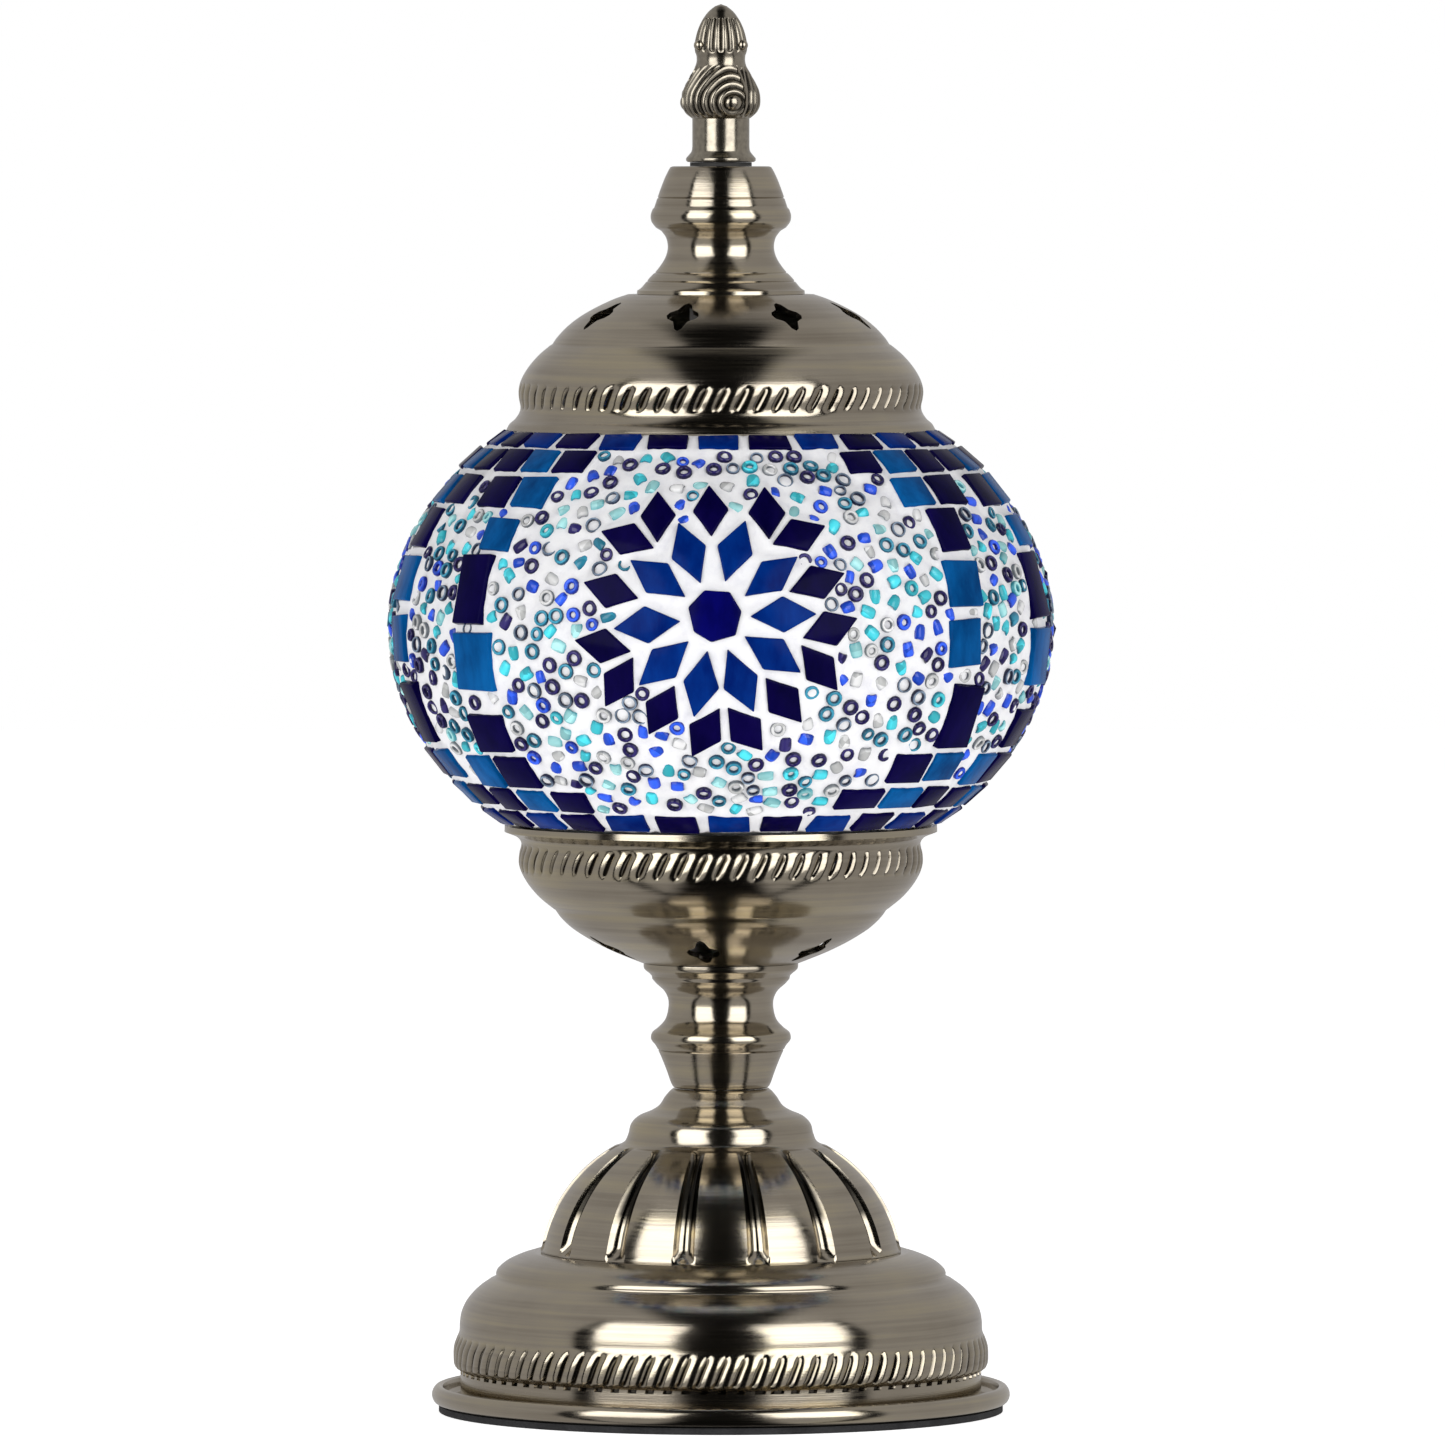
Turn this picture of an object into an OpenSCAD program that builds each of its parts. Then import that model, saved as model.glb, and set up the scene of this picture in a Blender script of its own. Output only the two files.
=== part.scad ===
/* [Globe] */
// Radius of the mosaic globe at its equator, over the tiles
globe_r = 62; // [61:0.5:63]
// Height of the globe's centre above the table
globe_z = 145; // [144.5:0.1:145.5]
// Wall of the blown glass blank
glass_wall = 2.5; // [2:0.1:3]
// Thickness of the cut glass tiles
tile_thick = 2; // [1.6:0.1:2]
// Thickness of the grout between the tiles
grout_thick = 1.2; // [1:0.1:1.4]

/* [Mosaic] */
// Flowers round the globe
flowers = 3; // [3]
// Half the length of an inner petal
inner_long = 6.3; // [5.4:0.1:6.3]
// Half the length of an outer petal
outer_long = 5.6; // [5:0.1:5.6]
// Tiles in the band at each rim of the globe
rim_count = 28; // [24:2:28]

/* [Metalwork] */
// Thickness of the spun sheet metal
sheet = 1; // [0.8:0.1:1]
// Pierced stars round the top cap
cap_stars = 8; // [6:1:10]
// Pierced stars round the lower gallery
gallery_stars = 6; // [4:1:8]
// Flutes pressed into the base dome
flute_count = 15; // [12:1:18]
// Radius of the bore in the cord grommet
cord_bore_r = 2.9; // [2.6:0.1:3.1]

/* [Hidden] */
$fn = 48;

gap = 0.05;             // running clearance between parts that touch
brass = "darkkhaki";
steel = "silver";
navy = "midnightblue";
blue = "royalblue";

// The globe is an ellipsoid: the glass, the grout on it and the tiles on it
glass_a = globe_r - tile_thick;
glass_b = glass_a * 0.763;
glass_end = 55.5;       // angle from the equator where the glass is cut open
grout_end = 51;         // the same for the grout

// Heights of the stack, from the table up
pad_top = 1.2;
pan_floor = pad_top + sheet;
ledge_z = 29.5;         // top of the base shell, which the fluted dome stands on
dome_top = 59.7;
spindle_foot = 59.9;
gallery_foot = 83;
harp_foot = 85.4;
harp_top = 200;
socket_foot = 91;
cap_foot = 182.4;
cap_top = 206.5;
neck_top = 230.1;
finial_foot = 230.9;
finial_tip = 260;

pipe_r = 4.8;           // M10 lamp pipe
pipe_bore_r = 3.3;
pipe_hole_r = 5;
stud_r = 3;             // M6 stud on the harp
stud_top = 241;

// --- Outlines -------------------------------------------------------------

function catmull(a, b, c, d, t) =
    0.5 * (2 * b + (c - a) * t + (2 * a - 5 * b + 4 * c - d) * t * t
    + (3 * b - a - 3 * c + d) * t * t * t);

// A smooth line through the points, with n steps between each two
function smooth(p, n = 3) = concat(
    [for (i = [0:len(p) - 2], k = [0:n - 1])
        catmull(p[max(i - 1, 0)], p[i], p[i + 1], p[min(i + 2, len(p) - 1)], k / n)],
    [p[len(p) - 1]]);

function left_normal(a, b) = [a[1] - b[1], b[0] - a[0]] / norm(b - a);

// The line moved to its left by a distance, with mitred corners
function beside(p, by) = [for (i = [0:len(p) - 1])
    let (m = i == 0 ? left_normal(p[0], p[1]) : left_normal(p[i - 1], p[i]),
         n = i == len(p) - 1 ? m : left_normal(p[i], p[i + 1]))
    p[i] + by * (m + n) / (1 + m * n)];

function reversed(p) = [for (i = [len(p) - 1:-1:0]) p[i]];

// The closed outline of a sheet whose outer face is the line
function sheet_outline(p, wall = sheet) = concat(p, reversed(beside(p, wall)));

function ellipse_arc(a, b, z, from, to, steps) = [for (i = [0:steps])
    let (t = from + (to - from) * i / steps) [a * cos(t), z + b * sin(t)]];

base_shell_line = concat(
    [[42, pan_floor + gap], [47.8, pan_floor + gap], [48.2, 2.8], [48.2, 7.7]],
    smooth([[49.0, 8.2], [49.5, 9.6], [49.5, 11.4], [49.0, 13.1], [48.5, 14.6],
        [48.3, 16.6], [47.9, 18.7], [46.9, 20.7], [45.0, 22.7], [42.6, 24.4], [41.6, 25.1]]),
    smooth([[41.3, 25.6], [40.8, 26.7], [39.3, 27.9], [37, 28.9], [34.8, ledge_z]]),
    [[30, ledge_z]]);

// The dome between foot and collar is an arc, which the flutes follow
flute_arc_r = 27;
flute_arc_centre = [6.6, 25.4];
dome_line = concat(
    [[33.3, ledge_z + gap], [33.3, 30.1]],
    [for (i = [1:8])
        let (t = 10 + 5.1 * i)
        flute_arc_centre + flute_arc_r * [cos(t), sin(t)]],
    smooth([[18.6, 49.0], [17.6, 50.2], [17.1, 51.8], [16.4, 53.4], [14.4, 54.8],
        [12.3, 55.8], [11.1, 57.0], [10.2, 58.5], [9.3, 59.4]]),
    [[8.7, dome_top], [pipe_hole_r, dome_top]]);

stem_spindle_line = concat(
    [[pipe_hole_r, spindle_foot], [8.8, spindle_foot]],
    smooth([[9.2, 60.5], [10, 62.6], [10.9, 65], [11.9, 67.2]]),
    smooth([[12.6, 68.1], [12.9, 69.2], [12.5, 70.3], [11.1, 71.5], [10.1, 73], [9.7, 75],
        [9.9, 76.9], [10.8, 78.4], [12.3, 79.6], [12.8, 80.6]]),
    smooth([[13.2, 81.0], [13.7, 81.8], [14.2, 82.4]]),
    [[14.2, gallery_foot - gap]]);

gallery_line = concat(
    [[pipe_hole_r, gallery_foot], [14.4, gallery_foot]],
    smooth([[15.6, 83.5], [19.6, 85], [22.8, 86.5], [25.4, 88], [27.6, 89.5],
        [29.4, 91.1], [30.5, 92.4]]),
    smooth([[31.2, 93.0], [33.5, 95.1], [35.4, 97.3], [36.7, 99.6], [37.3, 101.4],
        [37.3, 103], [36.9, 104.6], [37.1, 105.8], [38, 106.7]]),
    [[39.3, 107.3], [39.9, 107.5]]);

top_cap_line = concat(
    smooth([[39.6, cap_foot], [38.4, 183.2], [37.4, 184.6], [37, 186], [37.3, 187.6],
        [37.3, 189], [36.7, 191], [35.4, 193.3], [33.5, 195.4], [31.5, 196.9]]),
    smooth([[30.9, 197.5], [30.2, 198.7], [28.5, 200.4], [26.2, 202.2], [23.4, 203.9],
        [20, 205.5], [17.2, cap_top]]),
    [[6.5, cap_top]]);

top_spindle_line = concat(
    [[15.5, cap_top + gap], [15.5, 207.1]],
    smooth([[15, 207.6], [14.1, 208.4], [12.9, 209.9], [11.3, 211.6], [10.2, 213.4],
        [9.9, 215.2], [10.1, 216.8], [10.9, 218]]),
    smooth([[12.2, 218.8], [12.8, 220], [12.9, 221.3], [12.4, 222.6]]),
    smooth([[11.5, 225], [10.5, 227.6], [9.6, 229.5]]),
    [[9.1, neck_top], [stud_r + 0.3, neck_top]]);

finial_line = concat(
    [[6.2, finial_foot], [6.2, 231.4]],
    smooth([[5.8, 232], [5.3, 233], [5.27, 239]]),
    smooth([[5.5, 239.2], [6.5, 240], [7.3, 241.4], [7.5, 242.8], [7.1, 244.4],
        [6.2, 246], [5.3, 247.5], [4.7, 249], [4.6, 250.2]]),
    smooth([[4.9, 251], [5.05, 252.2], [4.7, 253.8], [4.1, 255.6], [3.2, 257.4],
        [1.8, 259.2]]),
    [[0, finial_tip]]);

// --- Shared shapes --------------------------------------------------------

module shell(line, wall = sheet) {
    rotate_extrude() polygon(sheet_outline(line, wall));
}

module ring(r_in, r_out, z0, z1) {
    translate([0, 0, z0]) difference() {
        cylinder(r = r_out, h = z1 - z0);
        translate([0, 0, -1]) cylinder(r = r_in, h = z1 - z0 + 2);
    }
}

module hex_nut(across_flats, bore_r, z0, z1) {
    translate([0, 0, z0]) difference() {
        cylinder(r = across_flats / sqrt(3), h = z1 - z0, $fn = 6);
        translate([0, 0, -1]) cylinder(r = bore_r, h = z1 - z0 + 2);
    }
}

// A four-pointed star with hollow sides, cut through the sheet along its normal
module star_cutters(count, first, r, z, slope, size) {
    for (k = [0:count - 1])
        rotate([0, 0, first + k * 360 / count])
            translate([0, -r, z])
                rotate([90 - slope, 0, 0])
                    linear_extrude(height = 6, center = true)
                        polygon([for (i = [0:7])
                            let (reach = i % 2 == 0 ? size : size * 0.5)
                            reach * [cos(45 * i), sin(45 * i)]]);
}

// A tube swept along a route, closed at both ends
module swept_tube(route, r, sides = 8) {
    n = len(route);
    rings = [for (i = [0:n - 1])
        let (ahead = route[min(i + 1, n - 1)] - route[max(i - 1, 0)],
             along = ahead / norm(ahead),
             side = cross(along, abs(along[1]) > 0.9 ? [1, 0, 0] : [0, 1, 0]),
             u = side / norm(side),
             v = cross(along, u))
        for (k = [0:sides - 1])
            route[i] + r * (cos(360 * k / sides) * u + sin(360 * k / sides) * v)];
    walls = [for (i = [0:n - 2], k = [0:sides - 1])
        let (a = i * sides + k, b = i * sides + (k + 1) % sides)
        each [[a, a + sides, b], [b, a + sides, b + sides]]];
    caps = [for (k = [1:sides - 2])
        each [[0, k, k + 1], [(n - 1) * sides, (n - 1) * sides + k + 1, (n - 1) * sides + k]]];
    polyhedron(points = rings, faces = concat(walls, caps));
}

// --- Base -----------------------------------------------------------------

screw_circle_r = 30;
screw_hole_r = 2 + gap;

module at_screws() {
    for (k = [0:2]) rotate([0, 0, 30 + 120 * k]) translate([screw_circle_r, 0, 0]) children();
}

module felt_pad() {
    color("black") cylinder(r = 52.2, h = pad_top);
}

module base_pan() {
    lip = concat([[0, pad_top], [50.6, pad_top]],
        smooth([[52, 1.4], [53.2, 2.1], [53.5, 3.1], [53.2, 4.1], [52.6, 4.9]]));
    color(brass) difference() {
        rotate_extrude() polygon(sheet_outline(lip));
        at_screws() translate([0, 0, pad_top]) cylinder(r1 = 3.6 + gap, r2 = screw_hole_r, h = 1.6);
    }
}

module pan_screws() {
    color(steel) at_screws() translate([0, 0, pad_top]) {
        cylinder(r1 = 3.6, r2 = 2, h = 1.6);
        translate([0, 0, 1.5]) cylinder(r = 2, h = 7);
    }
}

module ballast_ring() {
    color("dimgray") difference() {
        ring(16, 43, pan_floor + sheet + 2 * gap, 11.3);
        at_screws() cylinder(r = screw_hole_r, h = 20);
    }
}

inlet_z = 17.5;
inlet_r = 48.15;        // radius of the shell where the cord goes in
inlet_tilt = 12;

module at_inlet() {
    translate([0, inlet_r, inlet_z]) rotate([-90 + inlet_tilt, 0, 0]) children();
}

module base_shell() {
    color(brass) difference() {
        shell(base_shell_line);
        at_inlet() cylinder(r = 3.9, h = 20, center = true);
    }
}

module cord_grommet() {
    color("black") at_inlet() difference() {
        union() {
            translate([0, 0, 0.45]) cylinder(r = 4.5, h = 1.7);
            translate([0, 0, -3.5]) cylinder(r = 3.85, h = 4.5);
            translate([0, 0, -4.2]) cylinder(r = 4.4, h = 1.8);
        }
        cylinder(r = cord_bore_r, h = 20, center = true);
    }
}

// A bar bent along the dome's arc at every flute
module flute_bars(r, from, to) {
    for (k = [0:flute_count - 1])
        rotate([0, 0, -90 + (k + 0.5) * 360 / flute_count])
            translate([flute_arc_centre[0], 0, flute_arc_centre[1]])
                rotate([90, -from, 0])
                    rotate_extrude(angle = to - from)
                        translate([flute_arc_r + 0.9, 0]) circle(r = r);
}

// Each flute is a groove outside and a rib inside, pressed from one sheet
module fluted_dome() {
    flute_r = 2.2;
    color(brass) difference() {
        union() {
            shell(dome_line);
            intersection() {
                rotate_extrude() polygon(concat(dome_line, [[0, dome_top], [0, ledge_z + gap]]));
                flute_bars(flute_r + 0.8, 10.5, 50);
            }
        }
        flute_bars(flute_r, 12, 48.5);
    }
}

module clamp_disc() {
    color(steel) ring(pipe_hole_r, 34, 27.2, ledge_z - sheet - gap);
}

module clamp_washer() {
    color(steel) ring(pipe_hole_r, 10, 26.1, 27.15);
}

module clamp_nut() {
    color(steel) hex_nut(14, pipe_r + gap, 22, 26.05);
}

// The block sits on the ballast, with a hole for each lead and a screw above it
block_y = 24;
block_hole_x = 4;

module terminal_block() {
    color("white") difference() {
        translate([-9, block_y, 11.3 + gap]) cube([18, 12, 11]);
        for (x = [-block_hole_x, block_hole_x]) {
            translate([x, block_y - 1, 16]) rotate([-90, 0, 0]) cylinder(r = 1.6, h = 14);
            for (y = [3, 9]) translate([x, block_y + y, 18]) cylinder(r = 1.3, h = 6);
        }
    }
}

module terminal_screws() {
    color(steel)
        for (x = [-block_hole_x, block_hole_x], y = [3, 9])
            translate([x, block_y + y, 18]) cylinder(r = 1.25, h = 3.6);
}

lead_r = 1.2;

// From the block down to the pipe's mouth, up the pipe and out to a socket terminal
function lead_route(side) = smooth([
    [side * block_hole_x, block_y + 4.5, 16], [side * block_hole_x, block_y - 1.5, 16],
    [side * 3.4, 15, 14.2], [side * 2.2, 7, 13.4], [side * 1.4, 1.5, 15], [side * 1.35, 0, 19],
    [side * 1.35, 0, 45], [side * 1.35, 0, 72], [side * 1.35, 0, 94], [side * 2.2, 0, 96.6],
    [side * 4.8, 0, 98], [side * 6.7, 0, 98.3]], 4);

module live_lead() {
    color("sienna") swept_tube(lead_route(1), lead_r);
}

module neutral_lead() {
    color("steelblue") swept_tube(lead_route(-1), lead_r);
}

// --- Stem, gallery and harp -----------------------------------------------

module stem_pipe() {
    color(steel) ring(pipe_bore_r, pipe_r, 19, 95.5);
}

module stem_spindle() {
    color(brass) shell(stem_spindle_line, 0.8);
}

module gallery() {
    color(brass) difference() {
        shell(gallery_line);
        star_cutters(gallery_stars, -8.5, 21.6, 85.9, -63, 2.9);
    }
}

module gallery_washer() {
    color(steel) ring(pipe_hole_r, 9, gallery_foot + sheet + gap, harp_foot - gap);
}

harp_line = concat([[-0.5, harp_foot], [14, harp_foot]],
    smooth([[17, 86], [19.4, 89], [26.5, 106], [28.4, 112]]),
    smooth([[28.6, 116], [28.6, 170], [27.4, 180], [24.2, 188], [19, 194.5], [12, 198.8]]),
    [[7, harp_top], [-0.5, harp_top]]);
strip_wall = 1.4;
strip_width = 6;

module harp() {
    color(steel) difference() {
        union() {
            for (side = [0, 1])
                mirror([side, 0, 0]) rotate([90, 0, 0])
                    linear_extrude(height = strip_width, center = true)
                        polygon(sheet_outline(harp_line, strip_wall));
            translate([0, 0, harp_foot]) cylinder(r = 8, h = strip_wall);
            translate([0, 0, harp_top - strip_wall]) cylinder(r = 6.5, h = strip_wall);
        }
        translate([0, 0, harp_foot - 1]) cylinder(r = pipe_r + gap, h = 4);
        translate([0, 0, harp_top - 3]) cylinder(r = stud_r + gap, h = 6);
    }
}

module gallery_nut() {
    color(steel) hex_nut(14, pipe_r + gap, harp_foot + strip_wall + gap, socket_foot - gap);
}

module harp_stud() {
    color(steel) translate([0, 0, 193.2]) cylinder(r = stud_r, h = stud_top - 193.2);
}

module stud_nuts() {
    color(steel) {
        hex_nut(10, stud_r + gap, 193.6, harp_top - strip_wall - gap);
        hex_nut(10, stud_r + gap, harp_top + gap, 204.9);
    }
}

// --- Lampholder -----------------------------------------------------------

holder_r = 14;
holder_split = 103;     // where the cap and the skirt of the holder meet
holder_top = 128;
spring_floor = 100.9;   // bottom of the well that holds the sprung contact
plunger_disc_z = 105.7;

module socket_cap() {
    color("dimgray") rotate_extrude() polygon(sheet_outline(concat(
        [[pipe_r + gap, socket_foot], [9, socket_foot]],
        smooth([[10.6, 91.6], [13, 94], [holder_r, 97]]), [[holder_r, holder_split]]), 1.4));
}

module socket_body() {
    color("white") difference() {
        translate([0, 0, 100]) cylinder(r = 12.5, h = 7.9);
        translate([0, 0, spring_floor]) cylinder(r = 2.6, h = 10);
        for (x = [-9, 9]) translate([x, 0, 99]) cylinder(r = 1.55, h = 6);
    }
}

module socket_skirt() {
    color("dimgray") difference() {
        ring(12.6, holder_r, holder_split + gap, holder_top);
        for (k = [0:2]) ring(holder_r - 0.35, holder_r + 1, 108 + 4 * k, 109.2 + 4 * k);
    }
    color("dimgray") ring(9, 13, 126.4, holder_top);
}

sleeve_r = 7.1;         // inside of the E14 screw sleeve

module screw_sleeve() {
    color("gold") ring(sleeve_r, sleeve_r + 0.7, 107.95, 124.8);
}

module contact_spring() {
    turns = 4;
    steps = 12;
    wire_r = 0.3;
    first_z = spring_floor + wire_r + gap;
    rise = plunger_disc_z - spring_floor - 2 * (wire_r + gap);
    color(steel) swept_tube([for (i = [0:turns * steps])
        [1.7 * cos(i * 360 / steps), 1.7 * sin(i * 360 / steps),
            first_z + rise * i / (turns * steps)]], wire_r, 6);
}

module socket_terminals() {
    color(steel) for (x = [-9, 9]) translate([x, 0, 97.6]) {
        cylinder(r = 1.35, h = 7);
        cylinder(r = 2, h = 1.8);
    }
}

module contact_plunger() {
    color("gold") {
        translate([0, 0, 102.2]) cylinder(r = 1, h = 4);
        translate([0, 0, plunger_disc_z]) cylinder(r = 2.4, h = 1.7);
    }
}

// --- Bulb -----------------------------------------------------------------

bulb_rim = 126;
bulb_r = 20;
bulb_z = 152.5;

module bulb_cap() {
    color(steel) rotate_extrude() polygon(concat(
        [[5.2, 109.4], [6.4, 109.4]],
        [for (i = [0:23]) let (z = 109.9 + i * 0.64) [6.6 + 0.3 * cos(i * 81.7), z]],
        [[6.9, 125.2], [7.6, bulb_rim - gap], [5.2, bulb_rim - gap]]));
}

module bulb_insulator() {
    color("black") translate([0, 0, 108.1]) cylinder(r1 = 3.4, r2 = 5.8, h = 1.25);
}

module bulb_contact() {
    color("gray") translate([0, 0, 107.45]) cylinder(r1 = 1.6, r2 = 2.4, h = 0.6);
}

bulb_line = concat(
    smooth([[7.5, bulb_rim], [7.8, 128], [9.8, 131.6], [13.4, 136.3]]),
    [for (i = [0:10]) let (t = -48 + 13.2 * i) [bulb_r * cos(t), bulb_z + bulb_r * sin(t)]],
    [[1, 172.48]]);

module bulb_glass() {
    color("white", 0.4) rotate_extrude() polygon(concat(
        bulb_line, [[0, 172.5], [0, 171.7]], reversed(beside(bulb_line, 0.8))));
}

module bulb_stem() {
    color("white", 0.5) {
        translate([0, 0, bulb_rim]) cylinder(r1 = 5.6, r2 = 2.2, h = 8);
        translate([0, 0, bulb_rim + 7.9]) cylinder(r = 2.2, h = 8);
    }
}

module bulb_filament() {
    color("orange") for (k = [0:3]) rotate([0, 0, 45 + 90 * k])
        translate([3.4, 0, 141.9]) rotate([0, 12, 0]) cylinder(r = 0.8, h = 19);
    color("silver") translate([0, 0, 141.95]) cylinder(r = 4.6, h = 0.5);
}

// --- Globe ----------------------------------------------------------------

module globe_glass() {
    color("white", 0.6) rotate_extrude() polygon(concat(
        ellipse_arc(glass_a, glass_b, globe_z, -glass_end, glass_end, 37),
        ellipse_arc(glass_a - glass_wall, glass_b - glass_wall, globe_z, glass_end, -glass_end, 37)));
}

module mosaic_grout() {
    color("white") rotate_extrude() polygon(concat(
        ellipse_arc(glass_a + grout_thick, glass_b + grout_thick, globe_z, -grout_end, grout_end, 34),
        ellipse_arc(glass_a + gap, glass_b + gap, globe_z, grout_end, -grout_end, 34)));
}

// A flat tile whose middle lies on the glass. Azimuth 0 is the front, -Y, and turns towards +X.
module tile(azimuth, height_angle, turn, outline) {
    tilt = atan2(glass_a * sin(height_angle), glass_b * cos(height_angle));
    rotate([0, 0, azimuth])
        translate([0, -(glass_a + gap) * cos(height_angle), globe_z + (glass_b + gap) * sin(height_angle)])
            rotate([90 - tilt, 0, 0]) rotate([0, 0, turn])
                linear_extrude(height = tile_thick) polygon(outline);
}

// Hand-cut tiles are never quite alike: a few steady variations by number
function wobble(seed, size) = rands(-size, size, 2, seed);

flower_tilt = 5;        // height angle of the flowers' middles
arc_per_degree = 0.8;   // length along the glass of one degree of height angle
flower_azimuths = [for (k = [0:flowers - 1]) -1 + k * 360 / flowers];

// A tile placed in a flower's own plane, by distance from its middle and by clock angle
module flower_tile(azimuth, middle, turn, outline) {
    height_angle = flower_tilt + middle[1] / arc_per_degree;
    sideways = middle[0] / (glass_a * cos(height_angle)) * 180 / PI;
    tile(azimuth + sideways, height_angle, turn, outline);
}

petal_wobble = 0.15;

function diamond(long, short, seed) = [
    [long, 0] + wobble(seed, petal_wobble), [0, short] + wobble(seed + 1, petal_wobble),
    [-long, 0] + wobble(seed + 2, petal_wobble), [0, -short] + wobble(seed + 3, petal_wobble)];

module flower_centres() {
    color("navy") for (k = [0:flowers - 1])
        flower_tile(flower_azimuths[k], [0, 0], 8, [for (i = [0:6])
            let (a = i * 360 / 7) 4.9 * [cos(a), sin(a)] + wobble(40 * k + i, 0.25)]);
}

// Clock angles of the inner petals, laid by hand
petal_angles = [1, 35, 73, 112, 147, 187, 222, 258, 292, 327];
petals = len(petal_angles);
inner_foot = 5.95;      // distance of an inner petal's point from the flower's middle

module inner_petals() {
    color(blue) for (f = [0:flowers - 1], k = [0:petals - 1])
        let (a = petal_angles[k], out = inner_foot + inner_long)
        flower_tile(flower_azimuths[f], out * [cos(a), sin(a)], a,
            diamond(inner_long, 3.4, 500 + 60 * f + 4 * k));
}

// In every other gap between inner petals stands one outer petal, and in the rest a splayed pair
module outer_petals() {
    splay = 34;
    color(navy) for (f = [0:flowers - 1], k = [0:petals - 1]) {
        next = petal_angles[(k + 1) % petals] + (k == petals - 1 ? 360 : 0);
        between = (petal_angles[k] + next) / 2;
        pair = k % 2 == 1;
        for (side = pair ? [-1, 1] : [0]) {
            turn = between + side * splay + wobble(700 + 30 * f + 3 * k + side, 1)[0];
            foot = (pair ? 15.9 : 13.6) * [cos(between), sin(between)]
                + side * 0.45 * [-sin(between), cos(between)];
            flower_tile(flower_azimuths[f], foot + outer_long * [cos(turn), sin(turn)], turn,
                diamond(outer_long, 3.4, 900 + 120 * f + 8 * k + 4 * side));
        }
    }
}

quad_wobble = 0.3;

function quad(w, h, seed) = [
    [w / 2, h / 2] + wobble(seed, quad_wobble), [-w / 2, h / 2] + wobble(seed + 1, quad_wobble),
    [-w / 2, -h / 2] + wobble(seed + 2, quad_wobble),
    [w / 2, -h / 2] + wobble(seed + 3, quad_wobble)];

// The rows of the tiled pillars left and right of a flower: height angle and tile height, then
// for each tile its azimuth from the flower's middle, its width, and 1 for blue or 0 for navy
left_pillar = [
    [41.4, 5.6, [[-54.6, 7, 0], [-44.6, 7, 1], [-34.6, 7, 0]]],
    [33, 7, [[-50.8, 8.2, 0], [-40.6, 8.2, 1]]],
    [22.7, 6.6, [[-44.4, 7.5, 1]]],
    [10.2, 12.6, [[-47.4, 7.4, 0]]],
    [-5.7, 11, [[-46.4, 10, 1]]],
    [-22, 7.8, [[-46.4, 9, 0]]],
    [-32, 7, [[-54.5, 7.6, 1], [-44.5, 8.6, 0]]],
    [-39.9, 5.4, [[-54.8, 7.2, 0], [-44.6, 7.6, 1], [-34.2, 7.6, 0]]]];
right_pillar = [
    [41.4, 5.6, [[34.6, 7.2, 0], [44.8, 7, 1], [54.8, 6.8, 0]]],
    [33.4, 6.6, [[44.1, 8.2, 1], [54.4, 8.2, 0]]],
    [23.7, 8.4, [[48.6, 7.6, 0]]],
    [11.6, 8.6, [[48, 9, 1]]],
    [-1.6, 8.6, [[47.4, 8, 1]]],
    [-18.3, 12.4, [[49.6, 8, 0]]],
    [-30.6, 6.4, [[41.2, 8.4, 0], [51.2, 8, 1]]],
    [-39, 5.4, [[33, 9, 0], [44.6, 8.2, 1], [54.8, 7, 0]]]];

module pillar_tiles(want_blue) {
    for (f = [0:flowers - 1], side = [0, 1])
        let (rows = side == 0 ? left_pillar : right_pillar)
        for (r = [0:len(rows) - 1], i = [0:len(rows[r][2]) - 1])
            let (row = rows[r], spot = row[2][i])
            if (spot[2] == want_blue)
                tile(flower_azimuths[f] + spot[0], row[0], 0,
                    quad(spot[1], row[1], 2000 + 400 * f + 160 * side + 20 * r + 4 * i));
}

module pillar_tiles_navy() {
    color(navy) pillar_tiles(0);
}

module pillar_tiles_blue() {
    color(blue) pillar_tiles(1);
}

module rim_tiles(odd) {
    for (k = [odd:2:rim_count - 1], end = [-1, 1]) {
        z_angle = end > 0 ? 47.6 : -46.5;
        shift = end > 0 ? 1.05 : 0.84;
        tile((k - shift) * 360 / rim_count, z_angle, 0,
            quad(7.6, end > 0 ? 4.2 : 4.8, 5000 + 8 * k + 4 * end));
    }
}

module rim_tiles_navy() {
    color(navy) rim_tiles(0);
}

module rim_tiles_blue() {
    color(blue) rim_tiles(1);
}

// --- Cap and finial -------------------------------------------------------

module top_cap() {
    color(brass) difference() {
        shell(top_cap_line);
        star_cutters(cap_stars, -14.4, 24.4, 203, 58, 2.9);
    }
}

module top_spindle() {
    color(brass) shell(top_spindle_line, 0.8);
}

module finial_washer() {
    color("black") ring(stud_r + 0.1, 5.7, neck_top + gap, finial_foot - gap);
}

module finial() {
    color(brass) difference() {
        rotate_extrude() polygon(concat([[0, finial_foot]], finial_line));
        translate([0, 0, finial_foot - 1]) cylinder(r = stud_r + gap, h = 13);
    }
    // four small studs where the bud meets its stalk
    color(brass) for (k = [0:3]) rotate([0, 0, 45 + 90 * k])
        translate([4.7, 0, 252]) sphere(r = 0.9);
}

// --- Assembly -------------------------------------------------------------

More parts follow.
